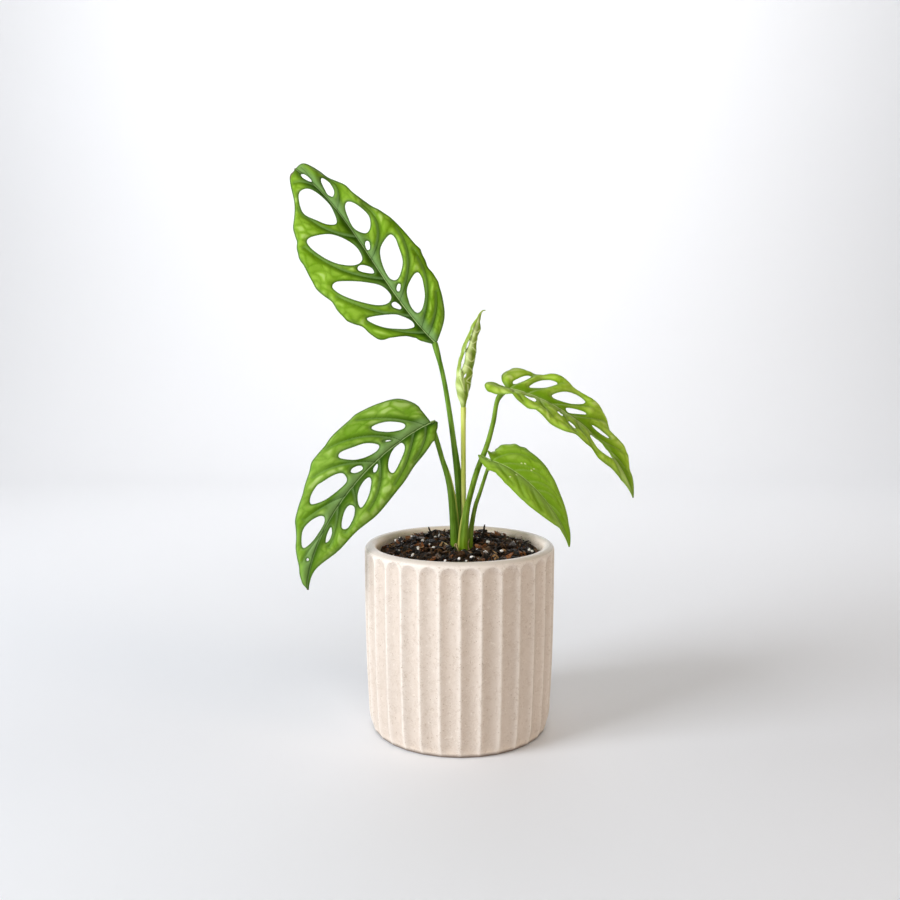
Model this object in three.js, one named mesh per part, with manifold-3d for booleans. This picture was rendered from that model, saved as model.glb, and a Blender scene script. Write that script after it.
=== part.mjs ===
// A young Monstera obliqua in a fluted stoneware pot: four leaves on separate stalks, one leaf
// still rolled up, potting mix and the pot. Millimetres, +Z up, the origin at the centre of the
// pot's flat foot. The plant's front looks along -Y.
import * as THREE from "three";
import { mergeVertices } from "three/addons/utils/BufferGeometryUtils.js";
import Module from "manifold-3d";

const wasm = await Module();
wasm.setup();

// Pot
const POT_RADIUS = 60; // over the ridges, at the lip
const POT_HEIGHT = 119;
const FOOT_RADIUS = 53.3; // flat face that the pot stands on
const FOOT_ROUND = 18; // height of the rounded base
const WAIST_RADIUS = 58.2; // outer radius just above the rounded base
const WALL_SWELL = 3; // how early the wall swells from the waist to its full radius
const WALL_HEIGHTS = [36, 62]; // rings between the base and the arches
const LIP_TUBE = 3.85; // radius of the round lip
const FLOOR_TOP = 9; // top of the pot's inner floor
const INNER_FOOT_RADIUS = 50.5; // inside of the wall at the floor
const INNER_CORNER = 5;
const FLUTES = 30;
const FLUTE_DEPTH = 2.1;
const FLUTE_TOP = 116.7; // crown of the arch at the top of each flute, on the lip's curve
const COLUMNS_PER_FLUTE = 4;
const BASE_ANGLES = [0, 27, 54, 90]; // degrees round the base's curve, from the foot to the wall
const FLUTE_START = 54; // degrees round the base at which the flutes have their full depth
const ARCH_ROWS = [[3, 1], [1, 0.75], [0, 0]]; // distance below an arch and share of the flute's depth
const LIP_ANGLES = [30, 90, 140, 180]; // degrees round the lip, from the outside over the top

// Potting mix
const GAP = 0.3; // between pieces that touch
const SOIL_MIDDLE = 115.8; // height of the mix at the stalks
const SOIL_EDGE = 113; // height of the mix at the pot's wall
const SOIL_SLOPE = 0.06; // the mix rises towards the back
const SOIL_FALL = 1.4; // how soon the mound falls to the edge's height
const SOIL_BUMPS = { height: 0.8, perX: 0.31, perY: 0.27, shift: 0.9 }; // radians for each millimetre
const SOIL_RIPPLE = { height: 0.5, perX: 0.35, perY: 0.52 };
const SOIL_COLUMNS = 36;
const SOIL_RINGS = [45, 37, 29, 21, 13, 5]; // radii of the points on its surface
const SEED = 11;
const CHIPS = 32; // lumps of bark
const CHIP_LENGTH = [4, 10];
const CHIP_WIDTH = [2, 4.5];
const CHIP_THICKNESS = [2, 3.4];
const CHIP_REACH = 44; // how far from the middle the lumps lie
const CHIP_LIFT = 0.5; // height of a lump's middle over the surface
const GRAINS = 16;
const GRAIN_RADIUS = [1.4, 2.2];
const GRAIN_REACH = 47;
const GRAIN_LIFT = 0.8;
const LEAN = 0.4; // steepest tilt of a lump, in radians
// Twigs that stand up out of the mix behind the stalks.
const TWIGS = [
  { route: [[-15, 12, 110], [-17, 12, 117.5], [-19.6, 12.5, 127]], radii: [1.6, 0.5] },
  { route: [[13.6, 15, 110], [15, 15, 117.5], [16.9, 15, 128]], radii: [1.8, 0.5] },
];
const TWIG_SIDES = 5;
const TWIG_STEPS = 3;

// Leaves
const BLADE_THICKNESS = 0.7;
const BLADE_START = 0.01; // share of the midrib that is left free for the stalk
const RIB_DEPTH = 0.9; // midrib's depth under the blade at the stalk
const RIB_TAPER = 0.85; // share of that depth which is gone at the tip
const RIB_SWEEP = 1.5; // side veins leave the midrib lower than they meet the margin
const MARGIN_EASE = 0.9; // rows of points lie a little closer to the margin
const CUTTER_REACH = 9; // how far a hole's cutter stands off each side of the blade
const HOLE_POINT = 0.15; // how pointed a hole's ends are
const HOLE_SIDES = 6; // fewest sides of a hole, which gets two more for each HOLE_STEP of its length
const HOLE_STEP = 8;

const GREEN = new THREE.MeshStandardMaterial({ color: 0x5f9226, roughness: 0.5, metalness: 0 });
const LIGHT_GREEN = new THREE.MeshStandardMaterial({ color: 0x8fb63c, roughness: 0.5, metalness: 0 });
const PALE_GREEN = new THREE.MeshStandardMaterial({ color: 0xb4cc62, roughness: 0.5, metalness: 0 });
const STALK_GREEN = new THREE.MeshStandardMaterial({ color: 0x4f8a2c, roughness: 0.55, metalness: 0 });
const STONEWARE = new THREE.MeshStandardMaterial({ color: 0xd9c7b2, roughness: 0.6, metalness: 0 });
const BARK = new THREE.MeshStandardMaterial({ color: 0x2c1e17, roughness: 0.95, metalness: 0 });

// Blade data. A blade lies on its midrib, a cubic curve from the stalk to the tip. Its upper face
// looks along faceBase at the stalk and faceTip at the tip. right and left are the margins, as
// distances [across, along] from the midrib's base, and rise is how far the margin stands above
// the plain folded section. holes are [across, along, length, width, turn in degrees, egg].
const BLADES = [
  {
    name: "blade_tall_leaf",
    material: GREEN,
    midrib: [[-14.9, 4, 244.6], [-50.2, 10.9, 278.8], [-68.5, 23.3, 329.7], [-106.9, 38, 357.4]],
    faceBase: [-0.25, -1, 0.15],
    faceTip: [-0.25, -1, 0.35],
    fold: 0.32,
    arch: 0.8,
    wave: { height: 1.3, count: 4.5, leftPhase: 1.5 },
    right: [[1, 0], [10, 4], [17, 10], [23.5, 21], [26.5, 31.5], [28, 48.5], [28, 61.5], [25, 82],
      [19, 97.5], [15, 109], [10.5, 132], [6.5, 146], [0.35, 150.3]],
    left: [[1, 0], [6, 8.5], [10, 15.5], [18.5, 21], [24.5, 25], [32, 40.5], [36, 53], [39.5, 75],
      [38, 90], [35, 106.5], [26.5, 119.5], [7.5, 149.5], [0.35, 150.3]],
    rightRise: [0, 0, 0, -0.5, -1, -2, -2.5, -0.5, -4, 1.5, -4.5, 0, -1],
    leftRise: [0, 0, 0, -0.5, -1, -2.5, -1, -3.5, -2, -1.5, 0.5, -5, -1],
    holes: [[-16, 88, 40, 16, 123, -0.24], [-17, 54.5, 40.5, 13, 133, -0.33],
      [-8.5, 118.5, 35, 15, 96, 0.12], [11.5, 60.5, 29, 13.5, 65, -0.05],
      [8, 95.5, 24, 12, 87, -0.28], [11.5, 32.5, 26, 11, 55, -0.1],
      [-12.5, 28.5, 30.5, 8.5, 136, -0.31], [5.5, 124.5, 16, 5.2, 78, -0.25],
      [-6.3, 64, 10.5, 5.2, 129, 0.1], [-3.3, 34, 6.7, 3.6, 115, 0.3],
      [2.8, 76.7, 6.3, 3.6, 62, 0.05], [-0.3, 139.4, 9, 2.5, 96, 0.3], [4.3, 42.6, 5, 2.8, 48, 0.1]],
    rows: 28,
    halfColumns: 4,
  },
  {
    name: "blade_lower_leaf",
    material: GREEN,
    midrib: [[-17.8, -3, 195.6], [-52.9, -14.5, 179.4], [-89.9, -26.2, 137.4], [-92.5, -33, 96.6]],
    faceBase: [0, -0.85, 0.5],
    faceTip: [-0.35, -0.95, 0.15],
    fold: 0.28,
    arch: 0.8,
    wave: { height: 1, count: 4, leftPhase: 1.2 },
    right: [[1, 0], [11.5, 1.5], [17, 2.5], [23.5, 7], [27.5, 14.5], [32.5, 28.5], [32.5, 41.5],
      [31.5, 58.5], [28.5, 74.5], [21, 92.5], [14.5, 107.5], [6.5, 123.5], [0.35, 132.7]],
    left: [[1, 0], [0.5, -3.5], [4, -2.7], [11.7, 5.7], [15, 13.5], [17.7, 25.5], [22, 39],
      [23.2, 54], [22.7, 70], [19, 85], [13.3, 103.3], [3.8, 120], [0.35, 132.7]],
    rightRise: [0, 0, 0, -1, -1.5, -2.5, -2, -1.5, -3.5, 0, -2.5, 1, -1],
    leftRise: [0, 0, 0, -0.5, -1, -2, -2, -2, -2, -1.5, -2, 1.3, -1],
    holes: [[12, 73, 27.5, 10.8, 68, 0], [12, 45.3, 24.7, 8.7, 58, -0.07],
      [6.8, 98.3, 21.4, 9.4, 77, 0.1], [-6.8, 32, 22, 7.8, 120, -0.12],
      [11.8, 23, 20, 6.7, 53, -0.07], [-8.4, 62, 20.8, 7, 115, -0.16],
      [-9.5, 81, 17, 6.8, 104, -0.2], [5, 54, 8, 4, 59, 0.1], [-4.3, 96.5, 11, 3, 99, -0.06],
      [-3, 45.7, 6, 2.6, 118, 0], [4.9, 28.4, 5.2, 1.3, 63, 0]],
    rows: 26,
    halfColumns: 4,
  },
  {
    name: "blade_right_leaf",
    material: LIGHT_GREEN,
    midrib: [[28.9, 5, 217.2], [62.3, -0.3, 211.3], [98.6, -6.6, 182.8], [108.1, -12, 149.6]],
    faceBase: [0.1, -0.6, 0.8],
    faceTip: [0.7, -0.5, 0.45],
    fold: 0.3,
    arch: 0.7,
    wave: { height: 0, count: 1, leftPhase: 0 },
    right: [[1, 0], [1.5, -8], [5.5, -12.5], [9.5, -9], [10, -1], [12, 6], [17, 17.5], [21.5, 27],
      [22.5, 39], [22, 54], [17.5, 68], [15.5, 79.5], [5.5, 96], [0.35, 110.3]],
    left: [[1, 0], [7, -3.5], [14, -4.5], [20, -1], [24, 6.5], [25.5, 16.5], [27, 26.5], [27, 40.5],
      [25.5, 54], [21.5, 68.5], [16.5, 80], [12.5, 89], [4.5, 100], [0.35, 110.3]],
    rightRise: [0, 4, 3.5, 1, 1, 4.5, 2, 5.5, 2, 5, 2, 0.5, -1, 0],
    leftRise: [0, -1, -2, -3, -3, -4.5, 0.5, -2.5, 0, -5.5, 0, -0.5, 1.3, 0],
    holes: [[-12.3, 37.7, 22.5, 9.6, 130, 0.25], [4.5, 72.2, 20.2, 9.5, 102, -0.25],
      [-12.1, 20, 18.6, 6.7, 140, 0.4], [-5.7, 46, 13.8, 4, 122, -0.2],
      [-11.4, 8.4, 16.5, 3.9, 148, -0.15], [-6.7, 65.2, 14.6, 3.3, 109, 0.3],
      [5.9, 17.6, 9, 4.8, 93, 0.35], [9.5, 49, 7.4, 3, 63, 0.3], [6, 38.8, 4.8, 3.6, 100, 0]],
    rows: 26,
    halfColumns: 4,
  },
  {
    name: "blade_small_leaf",
    material: GREEN,
    midrib: [[19.6, -4, 172], [40, -11, 167.5], [61.9, -20.5, 143], [66.7, -28, 122.2]],
    faceBase: [0.2, -0.65, 0.75],
    faceTip: [0.5, -0.75, 0.4],
    fold: 0.3,
    arch: 0.6,
    wave: { height: 0.5, count: 3, leftPhase: 1 },
    right: [[1, 0], [0.8, -8], [5, -5], [8, 0], [10, 5.5], [12, 14], [13.8, 26.5], [14.2, 39],
      [10.4, 51.2], [3.5, 64.2], [0.35, 75.5]],
    left: [[1, 0], [3, -3.5], [6.5, -2.5], [11, -2.5], [16, 1], [19, 9], [19.2, 19], [16.4, 31], [12.3, 43],
      [8.5, 54.2], [4.2, 66], [0.35, 75.5]],
    rightRise: [0, 3, 2, 0, 0, 0, -0.5, -0.5, 0, 1, 0],
    leftRise: [0, 4.5, 0.5, -3, -2, -0.5, 0.5, 0.5, -0.5, 0, 0, 0],
    holes: [],
    rows: 18,
    halfColumns: 4,
  },
];

// Stalks: points along the middle, from inside the mix to the blade, and radii at even steps.
const STALKS = [
  {
    name: "stalk_tall_leaf",
    carries: "blade_tall_leaf",
    material: STALK_GREEN,
    route: [[0.6, 8.2, 96], [0.5, 8, 114], [0.3, 7.5, 135], [-0.8, 7, 157], [-3.4, 7, 180],
      [-6.6, 6.3, 203], [-10.5, 5.8, 225], [-15.7, 5.4, 245.4]],
    radii: [2.4, 2.35, 2.15, 1.75, 1.5, 1.4],
    swell: 0.5,
  },
  {
    name: "stalk_lower_leaf",
    carries: "blade_lower_leaf",
    material: STALK_GREEN,
    route: [[-3.1, 0.6, 96], [-3, 0.3, 114], [-3.4, 0, 127], [-4.6, 0, 142], [-7, -0.5, 158],
      [-11.1, -1.3, 173], [-15.6, -1.8, 188], [-18.7, -1.9, 194.4]],
    radii: [2.6, 2.7, 2.35, 1.65, 1.55, 1.55],
    swell: 0.4,
  },
  {
    name: "stalk_right_leaf",
    carries: "blade_right_leaf",
    material: STALK_GREEN,
    route: [[2.6, -3.6, 96], [2.6, -3.8, 114], [3.2, -3.3, 127], [4.6, -2.2, 140.5], [6.9, -0.5, 150],
      [11.3, 2, 165], [17.2, 4, 180], [21.3, 4.8, 195], [24.4, 5.6, 210], [29.3, 5.9, 215.8]],
    radii: [2.7, 2.5, 1.85, 1.75, 1.5, 1.35],
    swell: 0.5,
  },
  {
    name: "stalk_small_leaf",
    carries: "blade_small_leaf",
    material: STALK_GREEN,
    route: [[6.9, 1.6, 96], [6.8, 1.4, 114], [7.5, 1.1, 127], [10.1, 0.2, 142.4], [12.6, -0.4, 150],
      [15.4, -1.2, 159], [17.8, -2.4, 166.5], [20.1, -3.4, 170.8]],
    radii: [1.8, 1.75, 1.55, 1.35, 1.15, 1.05],
    swell: 0.3,
  },
  {
    name: "stalk_rolled_leaf",
    material: PALE_GREEN,
    route: [[3, 3.4, 96], [3, 3.3, 114], [2.9, 3.4, 128], [2.7, 3.4, 140], [2.6, 3.6, 158],
      [2.4, 4.8, 186], [2.5, 5.9, 204.9]],
    radii: [1.5, 1.5, 1.6],
    swell: 0.1,
  },
];
const STALK_SIDES = 8;
const STALK_STEPS = 20;
const STALK_END = 0.65; // a stalk's last ring, as a share of its radius
const SWELL_SPAN = [0.9, 0.98]; // where a stalk swells below its blade, as shares of its length

// The leaf that is still rolled up: points along its middle with the radius at each.
const ROLL = [[2.5, 6, 205.2, 1.75], [2.4, 6, 207.5, 2.4], [2.2, 6, 211.5, 3.7], [2.5, 6, 217.6, 5.15],
  [3.2, 6, 226, 5.5], [4.9, 6, 234.5, 5.4], [6.6, 6, 242.8, 4.8], [8.4, 6, 249, 3.55],
  [10.2, 6, 254.3, 3.5], [11.1, 6, 257.8, 2.3], [12.1, 6, 260.6, 1.3], [13.1, 6, 263.2, 0.75],
  [14.6, 6, 264.9, 0.5], [16.2, 6, 265.2, 0.35]];
const ROLL_EDGE = [-70, -78, -92, -112, -118, -116, -112, -110, -106, -100]; // degrees, foot to tip
const ROLL_STEP = 0.9; // height of the free edge over the layer below it
const ROLL_FULL_STEP = 4; // radius from which the edge has that height
const ROLL_SIDES = 16;
const ROLL_ROWS = 26;
const ROLL_SLOTS = [[3.5, 224.4, 3], [1.7, 231.4, 6.5], [2.9, 237.2, 4.5], [5.2, 243.8, 5]]; // x, z, length
const SLOT_WIDTH = 1.4;
const SLOT_REACH = 30;
const SLOT_LEAN = 0.3; // radians
const MERGE = 1e-4; // points nearer than this are one

const vector = (p) => new THREE.Vector3(p[0], p[1], p[2]);
const mix = THREE.MathUtils.lerp;
const { degToRad, smoothstep, euclideanModulo, seededRandom } = THREE.MathUtils;

// A geometry as a solid, with the points that its faces share merged.
function solidOf(geometry) {
  const bare = geometry.clone();
  bare.deleteAttribute("normal");
  bare.deleteAttribute("uv");
  const merged = mergeVertices(bare, MERGE);
  return new wasm.Manifold(
    new wasm.Mesh({
      numProp: 3,
      vertProperties: merged.attributes.position.array,
      triVerts: new Uint32Array(merged.index.array),
    }),
  );
}

function solid(points, triangles) {
  const geometry = new THREE.BufferGeometry().setFromPoints(points);
  geometry.setIndex(triangles);
  return solidOf(geometry);
}

function meshOf(made, name, material) {
  const { vertProperties, triVerts } = made.getMesh();
  const geometry = new THREE.BufferGeometry();
  geometry.setAttribute("position", new THREE.BufferAttribute(vertProperties, 3));
  geometry.setIndex(new THREE.BufferAttribute(triVerts, 1));
  geometry.computeVertexNormals();
  const mesh = new THREE.Mesh(geometry, material);
  mesh.name = name;
  return mesh;
}

// The biggest body, without the scraps that a cut may leave.
function largest(made) {
  return made.decompose().reduce((best, body) => (body.volume() > best.volume() ? body : best));
}

// Rings of equal count joined into one skin, each four-sided face split along its shorter diagonal,
// and closed at both ends by a fan round a middle point.
function skin(rings) {
  const count = rings[0].length;
  const points = rings.flat();
  const triangles = [];
  const next = (i) => (i + 1) % count;
  for (let r = 0; r + 1 < rings.length; r++)
    for (let i = 0; i < count; i++) {
      const a = r * count + i;
      const b = r * count + next(i);
      const c = b + count;
      const d = a + count;
      if (points[a].distanceTo(points[c]) < points[b].distanceTo(points[d])) triangles.push(a, b, c, a, c, d);
      else triangles.push(a, b, d, b, c, d);
    }
  const middle = (ring) => ring.reduce((sum, p) => sum.add(p), new THREE.Vector3()).divideScalar(count);
  const bottom = points.push(middle(rings[0])) - 1;
  const top = points.push(middle(rings.at(-1))) - 1;
  const last = (rings.length - 1) * count;
  for (let i = 0; i < count; i++) {
    triangles.push(bottom, next(i), i);
    triangles.push(top, last + i, last + next(i));
  }
  return solid(points, triangles);
}

// Catmull-Rom value at s (0 to 1) along a list of numbers or of [x, y] pairs.
function along(list, s) {
  if (Array.isArray(list[0])) return list[0].map((_, k) => along(list.map((row) => row[k]), s));
  const last = list.length - 1;
  const t = Math.min(Math.max(s, 0), 1) * last;
  const i = Math.min(Math.floor(t), last - 1);
  const f = t - i;
  const b = list[i];
  const c = list[i + 1];
  const a = i > 0 ? list[i - 1] : 2 * b - c;
  const d = i + 2 <= last ? list[i + 2] : 2 * c - b;
  const square = (2 * a - 5 * b + 4 * c - d) * f * f;
  const cube = (3 * b - a - 3 * c + d) * f * f * f;
  return 0.5 * (2 * b + (c - a) * f + square + cube);
}

// Points round a centre, square to a direction, counter-clockwise seen against it.
function ringAt(centre, direction, sides, radius) {
  const side = new THREE.Vector3(0, 1, 0).cross(direction).normalize();
  const up = direction.clone().cross(side);
  return Array.from({ length: sides }, (_, i) => {
    const a = (2 * Math.PI * i) / sides;
    const r = radius(a);
    return centre.clone().addScaledVector(side, r * Math.cos(a)).addScaledVector(up, r * Math.sin(a));
  });
}

// A round bar along a route, with its radii at even steps. swell is added near its far end, and grow
// all along it.
function bar({ route, radii, swell = 0 }, sides, steps, grow = 0) {
  const curve = new THREE.CatmullRomCurve3(route.map(vector), false, "centripetal");
  const rings = [];
  for (let j = 0; j <= steps; j++) {
    const s = j / steps;
    const full = along(radii, s) + swell * smoothstep(s, ...SWELL_SPAN);
    const r = full * (j === steps ? STALK_END : 1) + grow;
    rings.push(ringAt(curve.getPointAt(s), curve.getTangentAt(s), sides, () => r));
  }
  return skin(rings);
}

// Outer radius of the wall, and of the lip's curve above it, at a height.
function outerRadius(z) {
  const over = z - (POT_HEIGHT - LIP_TUBE);
  if (over > 0) return POT_RADIUS - LIP_TUBE + Math.sqrt(LIP_TUBE * LIP_TUBE - over * over);
  return mix(POT_RADIUS, WAIST_RADIUS, (over / (FOOT_ROUND + LIP_TUBE - POT_HEIGHT)) ** WALL_SWELL);
}

// The pot's outline from the foot over the wall and lip to the inner floor: radius (or the wall's
// own) and height of each ring, how far its outward direction is level (out), its share of the
// flutes' depth, and how far the flutes' arches pull it down at a ridge.
function potOutline() {
  const innerWall = { r: INNER_FOOT_RADIUS, z: FLOOR_TOP + INNER_CORNER };
  const innerFloor = { r: INNER_FOOT_RADIUS - INNER_CORNER, z: FLOOR_TOP };
  const base = BASE_ANGLES.map((degrees) => {
    const a = degToRad(degrees);
    return {
      r: mix(FOOT_RADIUS, WAIST_RADIUS, Math.sin(a)),
      z: FOOT_ROUND * (1 - Math.cos(a)),
      out: Math.sin(a),
      depth: smoothstep(degrees, 0, FLUTE_START),
    };
  });
  const wall = WALL_HEIGHTS.map((z) => ({ z, depth: 1 }));
  const arch = (Math.PI * POT_RADIUS) / FLUTES;
  const arches = ARCH_ROWS.map(([below, depth]) => ({ z: FLUTE_TOP - below, depth, arch }));
  const lip = LIP_ANGLES.map((degrees) => {
    const a = degToRad(degrees);
    return { r: POT_RADIUS - LIP_TUBE * (1 - Math.cos(a)), z: POT_HEIGHT - LIP_TUBE * (1 - Math.sin(a)) };
  });
  return [...base, ...wall, ...arches, ...lip, innerWall, innerFloor];
}

function potSolid() {
  const columns = FLUTES * COLUMNS_PER_FLUTE;
  const rings = potOutline().map(({ r, z, out = 1, depth = 0, arch = 0 }) =>
    Array.from({ length: columns }, (_, i) => {
      const across = (2 * (i % COLUMNS_PER_FLUTE)) / COLUMNS_PER_FLUTE - 1; // -1 on a ridge, 0 in the hollow
      const round = 1 - across * across;
      const hollow = depth * FLUTE_DEPTH * round;
      const level = z - arch * (1 - Math.sqrt(round));
      const radius = (r ?? outerRadius(level)) - hollow * out;
      const height = level + hollow * Math.sqrt(1 - out * out);
      const angle = (2 * Math.PI * i) / columns - Math.PI / 2;
      return new THREE.Vector3(radius * Math.cos(angle), radius * Math.sin(angle), height);
    }),
  );
  return skin(rings);
}

// Height of the mix's surface: a low mound at the stalks, with slow bumps.
function soilHeight(x, y) {
  const out = Math.hypot(x, y) / POT_RADIUS;
  const mound = mix(SOIL_MIDDLE, SOIL_EDGE, Math.min(1, SOIL_FALL * out * out));
  const { height, perX, perY, shift } = SOIL_BUMPS;
  const bumps = height * Math.sin(perX * x + shift) * Math.cos(perY * y);
  const ripple = SOIL_RIPPLE.height * Math.sin(SOIL_RIPPLE.perX * x + SOIL_RIPPLE.perY * y);
  return mound + SOIL_SLOPE * y + bumps + ripple;
}

// Bark lumps and grains lying in the mix's surface at any angle.
function lumps() {
  seededRandom(SEED);
  const random = () => seededRandom();
  const between = ([low, high]) => mix(low, high, random());
  const lay = (geometry, reach, lift) => {
    const out = reach * Math.sqrt(random());
    const a = 2 * Math.PI * random();
    const x = out * Math.cos(a);
    const y = out * Math.sin(a);
    geometry.rotateX(between([-LEAN, LEAN]));
    geometry.rotateY(between([-LEAN, LEAN]));
    geometry.rotateZ(2 * Math.PI * random());
    geometry.translate(x, y, soilHeight(x, y) + lift);
    return solidOf(geometry);
  };
  const made = [];
  for (let i = 0; i < CHIPS; i++) {
    const chip = new THREE.BoxGeometry(between(CHIP_LENGTH), between(CHIP_WIDTH), between(CHIP_THICKNESS));
    made.push(lay(chip, CHIP_REACH, CHIP_LIFT));
  }
  for (let i = 0; i < GRAINS; i++) {
    made.push(lay(new THREE.OctahedronGeometry(between(GRAIN_RADIUS)), GRAIN_REACH, GRAIN_LIFT));
  }
  return made;
}

// The potting mix: it fills the pot, with lumps and twigs in its surface and a hole for each stalk.
function soilSolid(stalkHoles) {
  const innerLip = POT_RADIUS - 2 * LIP_TUBE;
  const ring = (r, height) =>
    Array.from({ length: SOIL_COLUMNS }, (_, i) => {
      const a = (2 * Math.PI * i) / SOIL_COLUMNS;
      const x = r * Math.cos(a);
      const y = r * Math.sin(a);
      return new THREE.Vector3(x, y, height ?? soilHeight(x, y));
    });
  const rings = [
    ring(INNER_FOOT_RADIUS - INNER_CORNER - GAP, FLOOR_TOP + GAP),
    ring(INNER_FOOT_RADIUS - 2 * GAP, FLOOR_TOP + INNER_CORNER + GAP),
    ring(innerLip - 2 * GAP),
    ...SOIL_RINGS.map((r) => ring(r)),
  ];
  let made = skin(rings);
  for (const lump of lumps()) made = made.add(lump);
  for (const twig of TWIGS) made = made.add(bar(twig, TWIG_SIDES, TWIG_STEPS));
  for (const hole of stalkHoles) made = made.subtract(hole);
  return largest(made);
}

// The blade as a surface: u runs from the midrib (0) to the margin (1), v from the stalk to the tip.
// place() turns distances [across, along, above] into a point. point() finds them for u and v.
function bladeSurface(leaf) {
  const midrib = new THREE.CubicBezierCurve3(...leaf.midrib.map(vector));
  const length = midrib.getLength();
  const faceBase = vector(leaf.faceBase);
  const faceTip = vector(leaf.faceTip);
  const place = (across, reach, above) => {
    const t = Math.min(Math.max(reach / length, 0), 1);
    const tangent = midrib.getTangentAt(t);
    const side = tangent.clone().cross(faceBase.clone().lerp(faceTip, t)).normalize();
    const normal = side.clone().cross(tangent);
    const middle = midrib.getPointAt(t).addScaledVector(tangent, reach - t * length);
    return middle.addScaledVector(side, across).addScaledVector(normal, above);
  };
  const point = (isRight, u, v, offset) => {
    const [across, reach] = along(isRight ? leaf.right : leaf.left, v);
    const start = length * v ** RIB_SWEEP;
    const rise = along(isRight ? leaf.rightRise : leaf.leftRise, v) * u * u;
    const phase = isRight ? 0 : leaf.wave.leftPhase;
    const ease = Math.sqrt(Math.max(0, Math.sin(Math.PI * v)));
    const wave = leaf.wave.height * u ** 3 * Math.sin(2 * Math.PI * leaf.wave.count * v + phase) * ease;
    const fold = leaf.fold * across * u * (1 - leaf.arch * u);
    return place((isRight ? across : -across) * u, mix(start, reach, u), fold + rise + wave + offset);
  };
  return { point, place };
}

// A thin plate over the blade's surface with its midrib under it. clearance thickens it all round.
// Both faces are split along the same diagonals.
function bladePlate(leaf, clearance) {
  const { point } = bladeSurface(leaf);
  const half = leaf.halfColumns;
  const columns = 2 * half + 1;
  const points = [];
  for (const face of [1, -1])
    for (let j = 0; j <= leaf.rows; j++)
      for (let i = -half; i <= half; i++) {
        const v = mix(BLADE_START, 1, j / leaf.rows);
        const u = (Math.abs(i) / half) ** MARGIN_EASE;
        const rib = face < 0 && i === 0 ? RIB_DEPTH * (1 - RIB_TAPER * v) : 0;
        points.push(point(i > 0, u, v, face * (BLADE_THICKNESS / 2 + clearance) - rib));
      }
  const underside = columns * (leaf.rows + 1);
  const triangles = [];
  const addPair = (a, b, c) => {
    triangles.push(a, b, c);
    triangles.push(a + underside, c + underside, b + underside);
  };
  for (let j = 0; j < leaf.rows; j++)
    for (let i = 0; i + 1 < columns; i++) {
      const a = j * columns + i;
      const b = a + 1;
      const c = b + columns;
      const d = a + columns;
      const mirrored = (i < half) === (j % 2 === 0);
      if (mirrored) {
        addPair(a, b, c);
        addPair(a, c, d);
      } else {
        addPair(a, b, d);
        addPair(b, c, d);
      }
    }
  const edge = [];
  for (let i = 0; i + 1 < columns; i++) edge.push(i);
  for (let j = 0; j < leaf.rows; j++) edge.push(j * columns + columns - 1);
  for (let i = columns - 1; i > 0; i--) edge.push(leaf.rows * columns + i);
  for (let j = leaf.rows; j > 0; j--) edge.push(j * columns);
  edge.forEach((p, k) => {
    const q = edge[(k + 1) % edge.length];
    triangles.push(q, p, p + underside, q, p + underside, q + underside);
  });
  return solid(points, triangles);
}

// A pin of the hole's outline, square to the blade: an egg with slightly pointed ends.
function holeCutter(leaf, [across, reach, length, width, turn, egg]) {
  const { place } = bladeSurface(leaf);
  const sides = HOLE_SIDES + 2 * Math.round(length / HOLE_STEP);
  const c = Math.cos(degToRad(turn));
  const s = Math.sin(degToRad(turn));
  const ring = (height) =>
    Array.from({ length: sides }, (_, i) => {
      const a = (2 * Math.PI * i) / sides;
      const sharp = Math.abs(Math.sin(a)) ** HOLE_POINT;
      const p = (length / 2) * Math.cos(a);
      const q = (width / 2) * Math.sin(a) * (1 + egg * Math.cos(a)) * sharp;
      return place(across + p * c - q * s, reach + p * s + q * c, height);
    });
  return skin([ring(-CUTTER_REACH), ring(CUTTER_REACH)]);
}

function bladeSolid(leaf) {
  let made = bladePlate(leaf, 0);
  for (const hole of leaf.holes) made = made.subtract(holeCutter(leaf, hole));
  return largest(made);
}

// A stalk ends just under the blade that it carries.
function stalkSolid(stalk) {
  const whole = bar(stalk, STALK_SIDES, STALK_STEPS);
  const leaf = BLADES.find((blade) => blade.name === stalk.carries);
  return leaf ? largest(whole.subtract(bladePlate(leaf, GAP))) : whole;
}

// The rolled leaf: a spindle whose free edge stands over the layer below it as a low step in front,
// with a few slots where the layers stand apart.
function rolledSolid() {
  const curve = new THREE.CatmullRomCurve3(ROLL.map(vector), false, "centripetal");
  const radii = ROLL.map((row) => row[3]);
  const rings = [];
  for (let j = 0; j <= ROLL_ROWS; j++) {
    const s = j / ROLL_ROWS;
    const r = along(radii, curve.getUtoTmapping(s));
    const step = ROLL_STEP * Math.min(1, r / ROLL_FULL_STEP);
    const edge = degToRad(along(ROLL_EDGE, s));
    const winding = (a) => r - step * euclideanModulo((edge - a) / (2 * Math.PI), 1);
    rings.push(ringAt(curve.getPointAt(s), curve.getTangentAt(s), ROLL_SIDES, winding));
  }
  let made = skin(rings);
  for (const [x, z, length] of ROLL_SLOTS) {
    const slot = new THREE.BoxGeometry(SLOT_WIDTH, SLOT_REACH, length);
    slot.rotateY(SLOT_LEAN);
    slot.translate(x, ROLL[0][1], z);
    made = made.subtract(solidOf(slot));
  }
  return largest(made);
}

const plant = new THREE.Group();
plant.add(meshOf(potSolid(), "pot", STONEWARE));
const stalkHoles = STALKS.map((stalk) => bar(stalk, STALK_SIDES, STALK_STEPS, GAP));
plant.add(meshOf(soilSolid(stalkHoles), "potting_mix", BARK));
for (const stalk of STALKS) plant.add(meshOf(stalkSolid(stalk), stalk.name, stalk.material));
for (const leaf of BLADES) plant.add(meshOf(bladeSolid(leaf), leaf.name, leaf.material));
plant.add(meshOf(rolledSolid(), "rolled_leaf", PALE_GREEN));

export default plant;
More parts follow.
